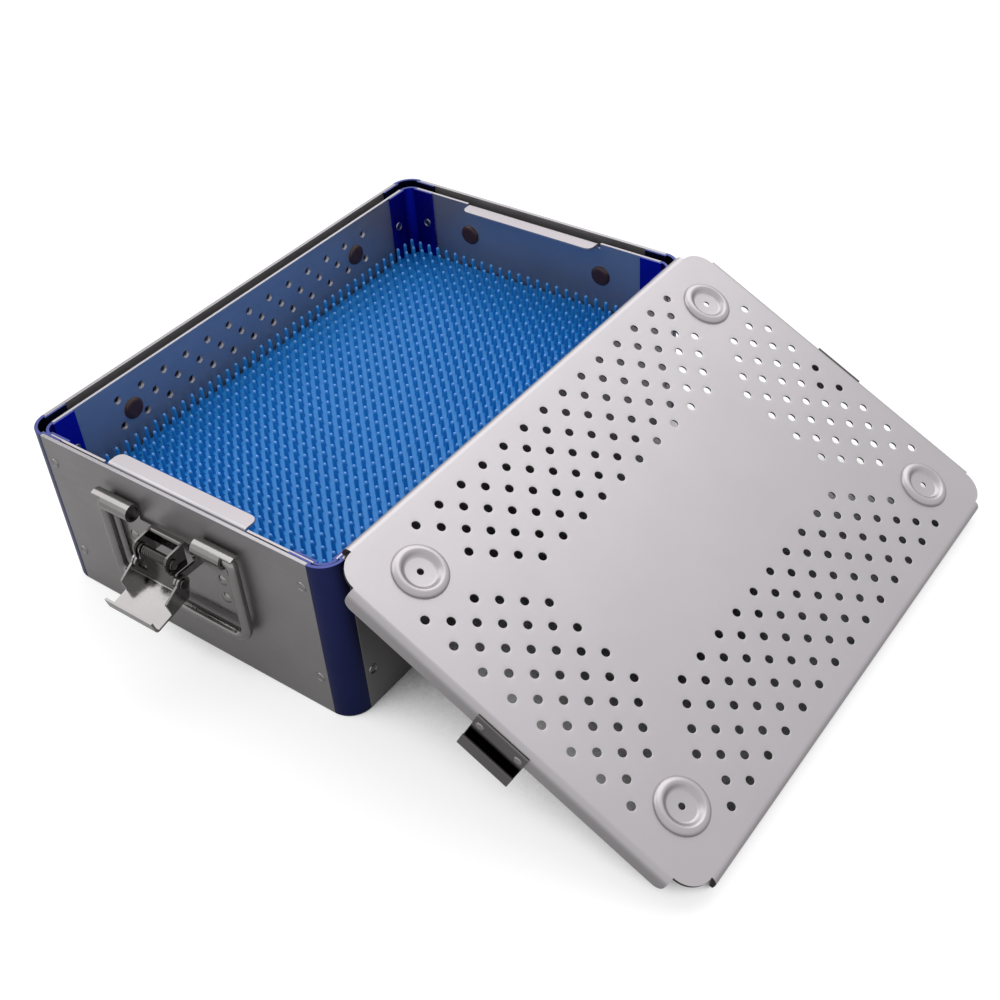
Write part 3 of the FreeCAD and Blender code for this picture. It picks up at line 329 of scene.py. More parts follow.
def surface(name, points, faces, material, body, slot, nodes, wall=0.0, facing=(0, 0, 1), rim=None):
    """Makes a piece from points in millimetres and faces, with doubles merged and normals outwards.

    With a wall it is an open skin whose faces look mostly the facing way, and the wall lies behind it.
    A second material may go on the wall's cut rims.
    """
    mesh = bpy.data.meshes.new(name)
    mesh.from_pydata((points * MM).tolist(), [], [face for part in faces for face in part.tolist()])
    shape = bmesh.new()
    shape.from_mesh(mesh)
    bmesh.ops.remove_doubles(shape, verts=shape.verts, dist=POINT_SEAM)
    bmesh.ops.recalc_face_normals(shape, faces=shape.faces)
    outward = sum((face.normal * face.calc_area() for face in shape.faces), Vector())
    if wall and outward.dot(Vector(facing)) < 0:
        bmesh.ops.reverse_faces(shape, faces=shape.faces)
    shape.to_mesh(mesh)
    shape.free()
    mesh.materials.append(material)
    made = shown(name, mesh, body, nodes)
    if wall:
        thick = made.modifiers.new("sheet_thickness", "SOLIDIFY")
        thick.thickness = wall * MM
        thick.offset = -1.0
        thick.use_even_offset = True
        if rim:
            mesh.materials.append(rim)
            thick.material_offset_rim = 1
        thickened = made.evaluated_get(bpy.context.evaluated_depsgraph_get())
        solid = bpy.data.meshes.new_from_object(thickened)
        made.modifiers.remove(thick)
        made.data = solid
        solid.set_sharp_from_angle(angle=SHARP_TURN)
        made.modifiers.new("even_shading", "WEIGHTED_NORMAL").keep_sharp = True
    return made


spots = [
    (sx, sy, sz, along)
    for sx in (-1, 1)
    for sy in (-1, 1)
    for sz in PANEL_RIVET_HEIGHTS
    for along in (0, 1)
]
panel_centres = [
    (
        sx * (BOX_HALF[0] - PANEL_RIVET_INSET * (1 - along)),
        sy * (BOX_HALF[1] - PANEL_RIVET_INSET * along),
        sz,
    )
    for sx, sy, sz, along in spots
]
panel_outward = [(sx * along, sy * (1 - along), 0) for sx, sy, sz, along in spots]
surface(
    "panel_rivet_heads",
    *heads(LOW_HEAD, panel_centres, panel_outward),
    rivet_metal,
    "container",
    "rivet_aluminium",
    ["panel_rivets"],
)
ledge_places = [(sx, step * LEDGE_RIVETS["reach"]) for sx in (-1, 1) for step in (-1, 0, 1)]
surface(
    "ledge_rivet_heads",
    *heads(
        LOW_HEAD,
        [(sx * LEDGE_RIVETS["out"], y, LEDGE_RIVETS["height"]) for sx, y in ledge_places],
        [(-sx, 0, 0) for sx, y in ledge_places],
    ),
    rivet_metal,
    "container",
    "rivet_aluminium",
    ["ledge_rivets"],
)

# Handle plates, one on each end panel.
# Stainless steel sheet, 1.5 mm, whose top edge is rolled into two sleeves with stop tabs. Two ears
# carry the hinge of the latch. Barrel polished, so it is bright but not a mirror.

STEEL_SHADES = ("#9A9797", "#858282")
STEEL_EDGE = 0.2 * MM
ROLLED_TURN = math.radians(55)
ENDS = ("front", "rear")
POLISH_WAVE, POLISH_DEPTH, POLISH_DETAIL = 7 * MM, 0.10 * MM, 1.0

polished_steel = finish_of(
    "barrel_polished_steel",
    STEEL_SHADES,
    metallic=1.0,
    roughness=0.17,
    spread=0.05,
    grain=(1.2 * MM, 1.2 * MM, 1.2 * MM),
    depth=0.002 * MM,
)
# Barrel polishing leaves thin pressed sheet faintly wavy, which breaks the reflections up.
tree = polished_steel.node_tree
place = add(tree, "ShaderNodeTexCoord").outputs["Object"]
slow = {"Vector": place, "Scale": 1 / POLISH_WAVE, "Detail": POLISH_DETAIL}
swell = add(tree, "ShaderNodeTexNoise", slow)
shallow = {"Height": swell.outputs["Fac"], "Distance": POLISH_DEPTH, "Strength": 1.0}
waves = add(tree, "ShaderNodeBump", shallow)
fine = tree.nodes["Principled BSDF"].inputs["Normal"].links[0].from_node
tree.links.new(waves.outputs["Normal"], fine.inputs["Normal"])
dressed(
    ["handle_plate_" + e for e in ENDS], polished_steel, STEEL_EDGE, sharp=ROLLED_TURN
)

# Rivets of the handle plates.
# Steel rivets with round domed heads, four on each plate.

DOME_HEAD = (
    (0, 1.2), (0.7, 1.15), (1.35, 1.02), (1.95, 0.79), (2.45, 0.48), (2.8, 0.18), (3.0, 0.0), (0, 0.0)
)
PLATE_RIVETS = {"across": 29.0, "heights": (46.0, 57.0), "out": 148.5}
for sign, end in zip((-1, 1), ENDS):
    centres = [
        (sx * PLATE_RIVETS["across"], sign * PLATE_RIVETS["out"], z)
        for sx in (-1, 1)
        for z in PLATE_RIVETS["heights"]
    ]
    surface(
        f"handle_rivet_domes_{end}",
        *heads(DOME_HEAD, centres, [(0, sign, 0)] * len(centres)),
        polished_steel,
        "container",
        "stainless_steel",
        [f"handle_rivets_{end}"],
    )

# Bails, one at each end.
# A length of 5.5 mm steel wire, bent round a grip bar, its two ends hidden in the sleeves. Polished
# by hand, with faint marks along it.

BAIL = {"out": 151.55, "pivot": 76.5, "tail": 21.5, "reach": 42.3, "drop": 48.0, "radius": 2.75}
BAIL_BENDS = (3.4, 8.0, 8.0, 3.4)
WIRE_SIDES = 24
BEND_STEPS = 10


def bent_path(corners, bends):
    """A path of straight runs in one plane, with an arc in place of each inner corner.

    An arc starts and ends where the circle of its radius touches both runs: the centre lies on the
    line that halves the corner, and the arc turns from one touching point to the other.
    """
    corners = np.array(corners, float)
    path = [corners[:1]]
    for before, corner, after, bend in zip(corners, corners[1:], corners[2:], bends):
        back = (before - corner) / np.linalg.norm(before - corner)
        on = (after - corner) / np.linalg.norm(after - corner)
        half = np.arccos(back @ on) / 2
        middle = corner + (back + on) / np.linalg.norm(back + on) * bend / np.sin(half)
        start = corner + back * bend / np.tan(half) - middle
        end = corner + on * bend / np.tan(half) - middle
        share = np.linspace(0, 1, BEND_STEPS + 1)[:, None]
        sweep = np.pi - 2 * half
        arc = start * np.sin((1 - share) * sweep) + end * np.sin(share * sweep)
        path.append(middle + arc / np.sin(sweep))
    path.append(corners[-1:])
    return np.concatenate(path)


def swept(path, across, radius, sides):
    """A round bar along a path: path plus radius times cosine along across and sine along the third way.

    The third way is square to the path and to across; a flat face closes each end.
    """
    along = np.gradient(path, axis=0)
    along /= np.linalg.norm(along, axis=1, keepdims=True)
    across = across - (across * along).sum(1, keepdims=True) * along
    across /= np.linalg.norm(across, axis=1, keepdims=True)
    third = np.cross(along, across)
    angle = np.arange(sides) * 2 * np.pi / sides
    ring = across[:, None] * np.cos(angle)[:, None] + third[:, None] * np.sin(angle)[:, None]
    points = (path[:, None] + radius * ring).reshape(-1, 3)
    caps = np.stack([np.arange(sides)[::-1], np.arange(sides) + len(points) - sides])
    return points, [quads(len(path), sides, True), caps]


for sign, end in zip((-1, 1), ENDS):
    y = sign * BAIL["out"]
    low = BAIL["pivot"] - BAIL["drop"]
    corners = [
        (-BAIL["tail"], y, BAIL["pivot"]),
        (-BAIL["reach"], y, BAIL["pivot"]),
        (-BAIL["reach"], y, low),
        (BAIL["reach"], y, low),
        (BAIL["reach"], y, BAIL["pivot"]),
        (BAIL["tail"], y, BAIL["pivot"]),
    ]
    path = bent_path(corners, BAIL_BENDS)
    surface(
        f"bail_wire_{end}",
        *swept(path, np.broadcast_to((0.0, 1.0, 0.0), path.shape), BAIL["radius"], WIRE_SIDES),
        polished_steel,
        f"bail_{end}",
        "stainless_steel",
        [f"bail_handle_{end}"],
    )

# Latch levers with their pivot rivets, the claws and the claws' pins.
# Pressed stainless steel, 1.2 mm: a finger plate with cheeks and an upright tongue, and a U-shaped
# claw of harder strip that hangs on the tongue's pin.

HARD_STEEL_SHADES = ("#767373", "#605D5D")

# Hardened strip and wire: a darker mirror with hardly any texture.
hard_steel = finish_of(
    "hardened_polished_steel",
    HARD_STEEL_SHADES,
    metallic=1.0,
    roughness=0.13,
    spread=0.04,
    grain=(1.2 * MM, 1.2 * MM, 1.2 * MM),
    depth=0.002 * MM,
)
dressed([f"latch_lever_{e}" for e in ENDS], polished_steel, STEEL_EDGE)
dressed(
    [f"{n}_{e}" for n in ("lever_pivots", "claw_pin", "latch_claw") for e in ENDS],
    hard_steel,
    STEEL_EDGE,
)

# Claw springs.
# A close coil of 0.84 mm spring wire round each claw's pin.

SPRING = {"out": 159.5, "height": 66.5, "half": 8.1, "wire": 0.42, "radius": 2.06}
SPRING_TURNS, TURN_STEPS, SPRING_SIDES = 12, 24, 8
for sign, end in zip((-1, 1), ENDS):
    turn = np.linspace(0, SPRING_TURNS * 2 * np.pi, SPRING_TURNS * TURN_STEPS + 1)
    out = np.stack([np.zeros_like(turn), np.cos(turn), np.sin(turn)], 1)
    reach = SPRING["half"] - SPRING["wire"]
    line = np.stack([np.linspace(-reach, reach, len(turn)), *np.zeros((2, len(turn)))], 1)
    helix = line + SPRING["radius"] * out + np.array([0, sign * SPRING["out"], SPRING["height"]])
    surface(
        f"claw_spring_coil_{end}",
        *swept(helix, out, SPRING["wire"], SPRING_SIDES),
        hard_steel,
        f"lever_{end}",
        "stainless_steel",
        [f"claw_spring_{end}"],
    )

# Tray floor and ends.
# Sheet aluminium, 1.2 and 1.5 mm, in a finer and brighter satin than the box. Each end has a lip
# folded in at the top to lift the tray by.

TRAY_SHADES = ("#B6B3B8", "#A5A3A9")
# Own tone for the tray's faces that look up: painted light.
UPWARD_PAINTED_LIGHT_SHADES = ("#ADA8AC", "#A6A1A5")
TRAY_EDGE = 0.25 * MM

tray_sheet = finish_of(
    "satin_aluminium_tray_sheet",
    TRAY_SHADES,
    metallic=0.85,
    roughness=0.36,
    spread=0.05,
    grain=(20 * MM, 20 * MM, 0.8 * MM),
    depth=0.004 * MM,
)

# A copy of the sheet for the faces that look up: a grey with no direction, whose own tone is painted
# light for how the light falls on them.
upward_painted_light_sheet = finish_of(
    "tray_upward_faces_painted_light",
    UPWARD_PAINTED_LIGHT_SHADES,
    metallic=1.0,
    roughness=0.44,
    spread=0.03,
    grain=(0.8 * MM, 0.8 * MM, 0.8 * MM),
    depth=0.002 * MM,
)
dressed(
    ["tray_floor_plate", "tray_end_front", "tray_end_rear"],
    tray_sheet,
    TRAY_EDGE,
    upward_painted_light_sheet,
)

# Tray sides.
# The same sheet, punched with three staggered rows of round holes along the upper half.

TRAY_MIDDLE = (1.4, -1.4)
TRAY_SIDE_OUT = 92.5
TRAY_SIDE_HALF = 134.0
TRAY_SIDE_LOW, TRAY_SIDE_TOP = 45.0, 91.5
TRAY_WALL = 1.5
TRAY_HOLE = 1.65
# Lattice step of the punched holes in the tray's sides and in the lid.
STEP = 8.0
PUNCH_DIP = 0.25
SPOKES = 16
FIRST_ROW_HEIGHT = 80.8
TRAY_COLUMNS, TRAY_ROWS = 25, 3
ON_EDGE = 1e-6


def punched_cells(centres, open_cells, step, radius, dip, spokes):
    """Square cells of a sheet, some with a round hole, as points (x, y, depth) and faces.

    The square's points are the spokes' directions divided by their larger share, so neighbours meet
    point on point. In an open cell rings join them to the hole's edge, which dips by half the dip.
    """
    angle = np.arange(spokes) * 2 * np.pi / spokes
    around = np.stack([np.cos(angle), np.sin(angle)], 1)
    square = around / np.abs(around).max(1, keepdims=True) * step / 2
    rings = np.stack([square, around * (radius + dip), around * radius])
    depth = np.broadcast_to(np.array([0, 0, -dip / 2])[:, None, None], (3, spokes, 1))
    rings = np.concatenate([rings, depth], -1)
    middle = np.concatenate([centres, np.zeros((len(centres), 1))], 1)
    holes = (middle[open_cells][:, None, None] + rings).reshape(-1, 3)
    plain = (middle[~open_cells][:, None] + rings[0]).reshape(-1, 3)
    faces = quads(3, spokes, True)
    many = np.arange(spokes)[None]
    return joined(
        (holes, [repeated(faces, int(open_cells.sum()), 3 * spokes)]),
        (plain, [repeated(many, int((~open_cells).sum()), spokes)]),
    )


def cells_outline(cells, step, spokes):
    """The points round a block of lattice cells, in order of their angle about its middle.

    Each side of a cell that has no neighbour gives the points of its square: the tangents of evenly
    spaced angles from minus to plus 45 degrees.
    """
    inside = {tuple(c) for c in cells.tolist()}
    share = np.tan(np.linspace(-np.pi / 4, np.pi / 4, spokes // 4 + 1))[:-1, None] / 2
    sides = [
        np.array([i + di / 2, j + dj / 2]) + share * np.array([-dj, di])
        for i, j in inside
        for di, dj in ((1, 0), (-1, 0), (0, 1), (0, -1))
        if (i + di, j + dj) not in inside
    ]
    points = np.concatenate(sides) * step
    middle = cells.mean(0) * step
    around = np.arctan2(points[:, 1] - middle[1], points[:, 0] - middle[0])
    return points[np.argsort(around)]


def band(inner, outer):
    """Faces between two closed loops of as many points, the outer one given second."""
    count = len(inner)
    points = np.concatenate([outer, inner])
    return np.concatenate([points, np.zeros((2 * count, 1))], 1), [quads(2, count, True)]


columns, rows = np.meshgrid(*(np.arange(n) - n // 2 for n in (TRAY_COLUMNS, TRAY_ROWS)), indexing="ij")
cells = np.stack([columns.ravel(), rows.ravel()], 1)
open_cells = (cells.sum(1) % 2) == 1
loop = cells_outline(cells, STEP, SPOKES)
middle_row = FIRST_ROW_HEIGHT - STEP
cell_half = np.array([TRAY_COLUMNS, TRAY_ROWS]) * STEP / 2
sheet_edge = loop.copy()
on_end = np.abs(loop[:, 0]) > cell_half[0] - ON_EDGE
on_top = loop[:, 1] > cell_half[1] - ON_EDGE
on_low = loop[:, 1] < -cell_half[1] + ON_EDGE
spread_out = loop[:, 0] * TRAY_SIDE_HALF / cell_half[0]
sheet_edge[:, 0] = np.where(on_end, np.sign(loop[:, 0]) * TRAY_SIDE_HALF, spread_out)
up, down = TRAY_SIDE_TOP - middle_row, TRAY_SIDE_LOW - middle_row
between = np.where(loop[:, 1] > 0, up, -down) * loop[:, 1] / cell_half[1]
sheet_edge[:, 1] = np.where(on_top, up, np.where(on_low, down, between))
flat_points, flat_faces = joined(
    punched_cells(cells * STEP, open_cells, STEP, TRAY_HOLE, PUNCH_DIP, SPOKES),
    band(loop, sheet_edge),
)
for sign, side in ((-1, "left"), (1, "right")):
    u, v, depth = flat_points.T
    points = np.stack(
        [
            TRAY_MIDDLE[0] + sign * (TRAY_SIDE_OUT + depth),
            TRAY_MIDDLE[1] + sign * u,
            middle_row + v,
        ],
        1,
    )
    surface(
        f"tray_side_{side}_punched",
        points,
        flat_faces,
        tray_sheet,
        "tray",
        "satin_aluminium",
        [f"tray_side_{side}"],
        wall=TRAY_WALL,
        facing=(sign, 0, 0),
    )

# Tray posts.
# The tray's own corner section, smaller than the box's and anodised in a fresher blue.

TRAY_BLUE_SHADES = ("#2A2BB4", "#23249C")

# The same finish as on the box's posts, a little smoother.
royal_anodised = finish_of(
    "royal_blue_anodised_extrusion",
    TRAY_BLUE_SHADES,
    metallic=1.0,
    roughness=0.32,
    spread=0.05,
    grain=(0.7 * MM, 0.7 * MM, 40 * MM),
    depth=0.004 * MM,
)
dressed(
    ["tray_post_" + c for c in CORNERS], royal_anodised, POST_EDGE, blue_ends_painted_highlight
)

# Tray rivets.
# Low heads like those of the box, on the inside of the legs.

TRAY_RIVET_IN = 2.7
TRAY_RIVET_INSET = 15.0
TRAY_RIVET_HEIGHT = 71.0
TRAY_HALF = (92.5, 142.0)
places = [(sx, sy, along) for sx in (-1, 1) for sy in (-1, 1) for along in (0, 1)]
tray_centres = [
    (
        TRAY_MIDDLE[0] + sx * (TRAY_HALF[0] - (TRAY_RIVET_INSET if along == 0 else TRAY_RIVET_IN)),
        TRAY_MIDDLE[1] + sy * (TRAY_HALF[1] - (TRAY_RIVET_INSET if along == 1 else TRAY_RIVET_IN)),
        TRAY_RIVET_HEIGHT,
    )
    for sx, sy, along in places
]
tray_outward = [(-sx * along, -sy * (1 - along), 0) for sx, sy, along in places]
surface(
    "tray_rivet_heads",
    *heads(LOW_HEAD, tray_centres, tray_outward),
    rivet_metal,
    "tray",
    "rivet_aluminium",
    ["tray_rivets"],
)

# Bumper buttons on the inside of the tray's walls.
# Moulded silicone, dark brown, pushed through the wall: a flat face with a generous round edge.

BUTTON_HEAD = (
    (0, 1.42), (2.2, 1.5), (3.6, 1.6), (4.8, 1.42), (5.5, 1.05), (5.9, 0.55), (6.0, 0.0), (0, 0.0)
)
BUTTON_SHADES = ("#3B211D", "#2E1916")
BUTTON_HEIGHT = 71.0
BUTTON_REACH = {"end": 46.0, "side": 88.0}

brown_silicone = finish_of(
    "moulded_brown_silicone",
    BUTTON_SHADES,
    metallic=0.0,
    roughness=0.42,
    spread=0.05,
    grain=(1.5 * MM, 1.5 * MM, 1.5 * MM),
    depth=0.01 * MM,
)
button_centres, button_inward = [], []
for sx in (-1, 1):
    for sy in (-1, 1):
        end_x = TRAY_MIDDLE[0] + sx * BUTTON_REACH["end"]
        end_y = TRAY_MIDDLE[1] + sy * (TRAY_HALF[1] - TRAY_WALL)
        side_x = TRAY_MIDDLE[0] + sx * (TRAY_HALF[0] - TRAY_WALL)
        side_y = TRAY_MIDDLE[1] + sy * BUTTON_REACH["side"]
        button_centres += [(end_x, end_y, BUTTON_HEIGHT), (side_x, side_y, BUTTON_HEIGHT)]
        button_inward += [(0, -sy, 0), (-sx, 0, 0)]
surface(
    "tray_button_heads",
    *heads(BUTTON_HEAD, button_centres, button_inward),
    brown_silicone,
    "tray",
    "brown_silicone",
    ["tray_buttons"],
)

# Finger mat.
# One moulding of blue silicone: a sheet with drain holes, and soft round fingers half a step from the
# holes. The tips look paler, because light passes through them.

MAT_STEP = 6.7
MAT_CELLS = (26, 40)
MAT_HALF = (89.4, 138.9)
MAT_ROUND = 8.0
MAT_LOW, MAT_SHEET_TOP = 46.2, 49.2
MAT_HOLE, MAT_DIP = 0.9, 0.15
# Points of a finger's profile: radius and height above the sheet, from inside the sheet up to the tip.
FINGER = (
    (0, -0.4), (1.45, -0.4), (1.45, 0.0), (1.16, 0.7), (1.08, 3.5),
    (0.98, 9.3), (0.78, 10.05), (0.42, 10.42), (0, 10.5),
)
FINGER_SIDES = 8
MAT_SHADES = ("#1C8AD4", "#1882CA")
TIP_SHADE = "#74B4FA"
TIP_START, TIP_END = 58.2, 59.7
NO_LENGTH = 1e-9

mat_silicone = finish_of(
    "moulded_blue_silicone",
    MAT_SHADES,
    metallic=0.0,
    roughness=0.46,
    spread=0.04,
    grain=(1.5 * MM, 1.5 * MM, 1.5 * MM),
    depth=0.01 * MM,
)
finger_silicone = finish_of(
    "blue_silicone_fingers",
    MAT_SHADES,
    metallic=0.0,
    roughness=0.55,
    spread=0.04,
    grain=(1.5 * MM, 1.5 * MM, 1.5 * MM),
    depth=0.004 * MM,
)
tree = finger_silicone.node_tree
shader = tree.nodes["Principled BSDF"]
place = add(tree, "ShaderNodeTexCoord").outputs["Object"]
height = add(tree, "ShaderNodeSeparateXYZ", {0: place}).outputs["Z"]
limits = {"Value": height, "From Min": TIP_START * MM, "From Max": TIP_END * MM}
share = add(tree, "ShaderNodeMapRange", limits).outputs["Result"]
own = shader.inputs["Base Color"].links[0].from_socket
paler = add(tree, "ShaderNodeMix", {0: share, 6: own, 7: linear(TIP_SHADE)}, data_type="RGBA")
tree.links.new(paler.outputs[2], shader.inputs["Base Color"])

i, j = np.meshgrid(*(np.arange(n) for n in MAT_CELLS), indexing="ij")
mat_cells = np.stack([i.ravel(), j.ravel()], 1)
half_count = (np.array(MAT_CELLS) - 1) / 2
mat_loop = cells_outline(mat_cells, MAT_STEP, FINGER_SIDES) - half_count * MAT_STEP
block_half = np.array(MAT_CELLS) * MAT_STEP / 2


def round_frame(loop, block_half, half, corner):
    """Moves the points of a rectangular loop out to a larger rectangle with round corners.

    Each point goes to its own share of the larger rectangle, and where that lies outside the corner
    circle it is drawn in to it along the line to the circle's centre.
    """
    out = loop * np.array(half) / block_half
    centre = np.sign(out) * (np.array(half) - corner)
    away = out - centre
    in_corner = (np.sign(out) * away > 0).all(1)
    length = np.linalg.norm(away, axis=1, keepdims=True)
    drawn = centre + away / np.maximum(length, NO_LENGTH) * corner
    return np.where(in_corner[:, None], drawn, out)


mat_points, mat_faces = joined(
    punched_cells(
        (mat_cells - half_count) * MAT_STEP,
        np.ones(len(mat_cells), bool),
        MAT_STEP,
        MAT_HOLE,
        MAT_DIP,
        FINGER_SIDES,
    ),
    band(mat_loop, round_frame(mat_loop, block_half, MAT_HALF, MAT_ROUND)),
)
surface(
    "finger_mat_sheet",
    mat_points + np.array([*TRAY_MIDDLE, MAT_SHEET_TOP]),
    mat_faces,
    mat_silicone,
    "tray",
    "blue_silicone",
    ["finger_mat"],
    wall=MAT_SHEET_TOP - MAT_LOW,
)
i, j = np.meshgrid(*((np.arange(n + 1) - n / 2) * MAT_STEP for n in MAT_CELLS), indexing="ij")
across, along = i.ravel() + TRAY_MIDDLE[0], j.ravel() + TRAY_MIDDLE[1]
feet = np.stack([across, along, np.full(i.size, MAT_SHEET_TOP)], 1)
radius, rise = np.array(FINGER).T
angle = np.arange(FINGER_SIDES) * 2 * np.pi / FINGER_SIDES
ring = np.stack([np.cos(angle), np.sin(angle)], 1)
level = np.broadcast_to(rise[:, None, None], (len(FINGER), FINGER_SIDES, 1))
one = np.concatenate([radius[:, None, None] * ring, level], -1).reshape(-1, 3)
surface(
    "finger_mat_fingers",
    (feet[:, None] + one).reshape(-1, 3),
    [repeated(quads(len(FINGER), FINGER_SIDES, True), len(feet), len(one))],
    finger_silicone,
    "tray",
    "blue_silicone",
    ["finger_mat"],
)

# Lid.
# One pressing of 1.5 mm aluminium, clear anodised to a silky light grey: a plate with staggered groups
# of punched holes, a pressed ring near each corner and a skirt folded down along each side.

LID_FLAT = (98.0, 147.5)
LID_CORNER = 12.0
LID_BEND = 3.6
LID_DEPTH = 9.0
LID_WALL = 1.5
LID_HOLE = 2.1
SKIRT_ROUND = 4.0
LID_REACH = (11, 17)
NARROWER = (0, 1, 2, 1, 2, 3, 4)
# How far a ring's cell lies in from the lattice's corner, and how far its block of cells reaches.
RING_IN, RING_BLOCK = 2, 2
RING_OUT, RING_CREST, RING_DISH, RING_BORE, RING_RISE = 13.0, 10.0, 6.6, 1.6, 2.2
RING_STEPS = 7
# The flat lid's point LEAN_FROM, low on one skirt, rests at LEAN_AT on the rim of the box, and its far
# skirt stands on the floor LEAN_RUN further on.
LEAN_AT = (96.5, 93.1)
LEAN_FROM = (-100.1, -9.0)
LEAN_RUN = 201.7
LEAN = math.asin(LEAN_AT[1] / LEAN_RUN)
BEND_ROWS = 8
LOW_ROWS = 6
CORNER_STEPS = 14
SLACK = 0.01
LID_SHADES = ("#B0ACAF", "#AAA6A9")
# Dark painted shade for the walls of the holes and the rims of the skirts.
HOLE_WALL_PAINTED_SHADES = ("#4A4648", "#3A3638")

# The same silky finish, a little smoother, on a larger sheet.
lid_metal = finish_of(
    "clear_anodised_lid_sheet",
    LID_SHADES,
    metallic=1.0,
    roughness=0.38,
    spread=0.03,
    grain=(0.8 * MM, 0.8 * MM, 0.8 * MM),
    depth=0.002 * MM,
)


def row_of(reach):
    """Lattice places of a row that reaches as far both ways, two steps apart."""
    return range(-reach, reach + 1, 2)


holes = set()
for sign in (-1, 1):
    for row, less in enumerate(NARROWER):
        holes |= {(i, sign * (LID_REACH[1] - row)) for i in row_of(LID_REACH[0] - 2 * RING_IN - less)}
        holes |= {(sign * (LID_REACH[0] - row), j) for j in row_of(LID_REACH[1] - 2 * RING_IN - less)}
ring_cells = {
    (sx * (LID_REACH[0] - RING_IN), sy * (LID_REACH[1] - RING_IN)) for sx in (-1, 1) for sy in (-1, 1)
}
near_ring = {
    (i + di, j + dj)
    for i, j in ring_cells
    for di in range(-RING_BLOCK, RING_BLOCK + 1)
    for dj in range(-RING_BLOCK, RING_BLOCK + 1)
    if abs(di) + abs(dj) < 2 * RING_BLOCK
}
i, j = np.meshgrid(*(np.arange(-n, n + 1) for n in LID_REACH), indexing="ij")
lattice = np.stack([i.ravel(), j.ravel()], 1)
kept = np.array([tuple(c) not in near_ring for c in lattice.tolist()])
plate_cells = lattice[kept]
open_cells = np.array([tuple(c) in holes for c in plate_cells.tolist()])
parts = [punched_cells(plate_cells * STEP, open_cells, STEP, LID_HOLE, PUNCH_DIP, SPOKES)]


def pressed_ring(cell):
    """A ring pressed up out of the sheet, from the outline of its block of cells in to its bore.

    Outside the crest its section is a quarter of an ellipse: the crest plus the width times cosine,
    and the rise times sine. Inside, the height is half the rise times one plus the cosine of the way
    from the crest to the dish.
    """
    block = np.array(
        [c for c in near_ring if max(abs(c[0] - cell[0]), abs(c[1] - cell[1])) <= RING_BLOCK]
    )
    rim = cells_outline(block, STEP, SPOKES)
    centre = np.array(cell) * STEP
    away = rim - centre
    ways = away / np.linalg.norm(away, axis=1, keepdims=True)
    turn = np.linspace(0, np.pi / 2, RING_STEPS)
    inward = np.linspace(0, 1, RING_STEPS + 1)[1:]
    radius = np.concatenate(
        [
            RING_CREST + (RING_OUT - RING_CREST) * np.cos(turn),
            RING_CREST + (RING_DISH - RING_CREST) * inward,
            [RING_BORE + PUNCH_DIP, RING_BORE],
        ]
    )
    flank = RING_RISE * np.sin(turn)
    dish = RING_RISE * (1 + np.cos(np.pi * inward)) / 2
    rise = np.concatenate([flank, dish, [0, -PUNCH_DIP / 2]])
    level = np.broadcast_to(rise[:, None, None], (len(radius), len(rim), 1))
    rings = np.concatenate([centre + radius[:, None, None] * ways, level], -1)
    outer = np.concatenate([rim, np.zeros((len(rim), 1))], 1)
    return np.concatenate([outer[None], rings]).reshape(-1, 3), [quads(len(radius) + 1, len(rim), True)]


parts += [pressed_ring(cell) for cell in sorted(ring_cells)]

side_share = np.tan(np.linspace(-np.pi / 4, np.pi / 4, SPOKES // 4 + 1))[:-1] / 2
block_edge = (np.array(LID_REACH) + 0.5) * STEP


def edge_places(reach):
    """Places along one side of the block of cells, both ends included."""
    places = (np.arange(-reach, reach + 1)[:, None] + side_share).ravel()
    return np.append(places, reach + 0.5) * STEP


def side_strip(along, half_straight, block_out, flat_out):
    """One side of the lid: the border of the plate, the bend and the skirt, in rows of along, out, up.

    Rows go out over the border, round a quarter circle, down the skirt, and round its lower corners,
    where the last rows get shorter by what a quarter circle takes off.
    """
    inside = along[np.abs(along) < half_straight + SLACK]
    straight = inside.copy()
    straight[[0, -1]] = -half_straight, half_straight
    turn = np.linspace(0, np.pi / 2, BEND_ROWS + 1)
    outs = flat_out + LID_BEND * np.sin(turn)
    ups = -LID_BEND + LID_BEND * np.cos(turn)
    low = np.linspace(0, np.pi / 2, LOW_ROWS)
    outs = np.concatenate([outs, np.full(len(low), outs[-1])])
    ups = np.concatenate([ups, -LID_DEPTH + SKIRT_ROUND * (1 - np.sin(low))])
    less = np.concatenate([np.zeros(BEND_ROWS + 1), SKIRT_ROUND * (1 - np.cos(low))])
    grid = np.stack(
        [
            straight * (1 - less[:, None] / half_straight),
            np.broadcast_to(outs[:, None], (len(outs), len(straight))),
            np.broadcast_to(ups[:, None], (len(ups), len(straight))),
        ],
        -1,
    )
    first = np.stack([inside, np.full(len(inside), block_out), np.zeros(len(inside))], 1)
    points = np.concatenate([first[None], grid])
    return points.reshape(-1, 3), [quads(len(points), len(straight), False)[:, ::-1]]


def corner_sheet(sx, sy):
    """The flat corner of the plate: one face between the block of cells and a quarter circle."""
    centre = np.array(LID_FLAT) - LID_CORNER
    x_in, y_in = edge_places(LID_REACH[0]), edge_places(LID_REACH[1])
    x_last = x_in[x_in < centre[0] + SLACK][-1]
    y_last = y_in[y_in < centre[1] + SLACK][-1]
    xs = x_in[x_in >= x_last]
    ys = y_in[(y_in >= y_last) & (y_in < block_edge[1] - SLACK)][::-1]
    turn = np.linspace(0, np.pi / 2, CORNER_STEPS + 1)
    far_side = np.stack([xs, np.full(len(xs), block_edge[1])], 1)
    outer_side = np.stack([np.full(len(ys), block_edge[0]), ys], 1)
    inner = np.concatenate([far_side, outer_side])
    arc = centre + LID_CORNER * np.stack([np.cos(turn), np.sin(turn)], 1)
    loop = np.concatenate([inner, arc]) * (sx, sy)
    order = np.arange(len(loop)) if sx * sy > 0 else np.arange(len(loop))[::-1]
    return np.concatenate([loop, np.zeros((len(loop), 1))], 1), [order[None]]


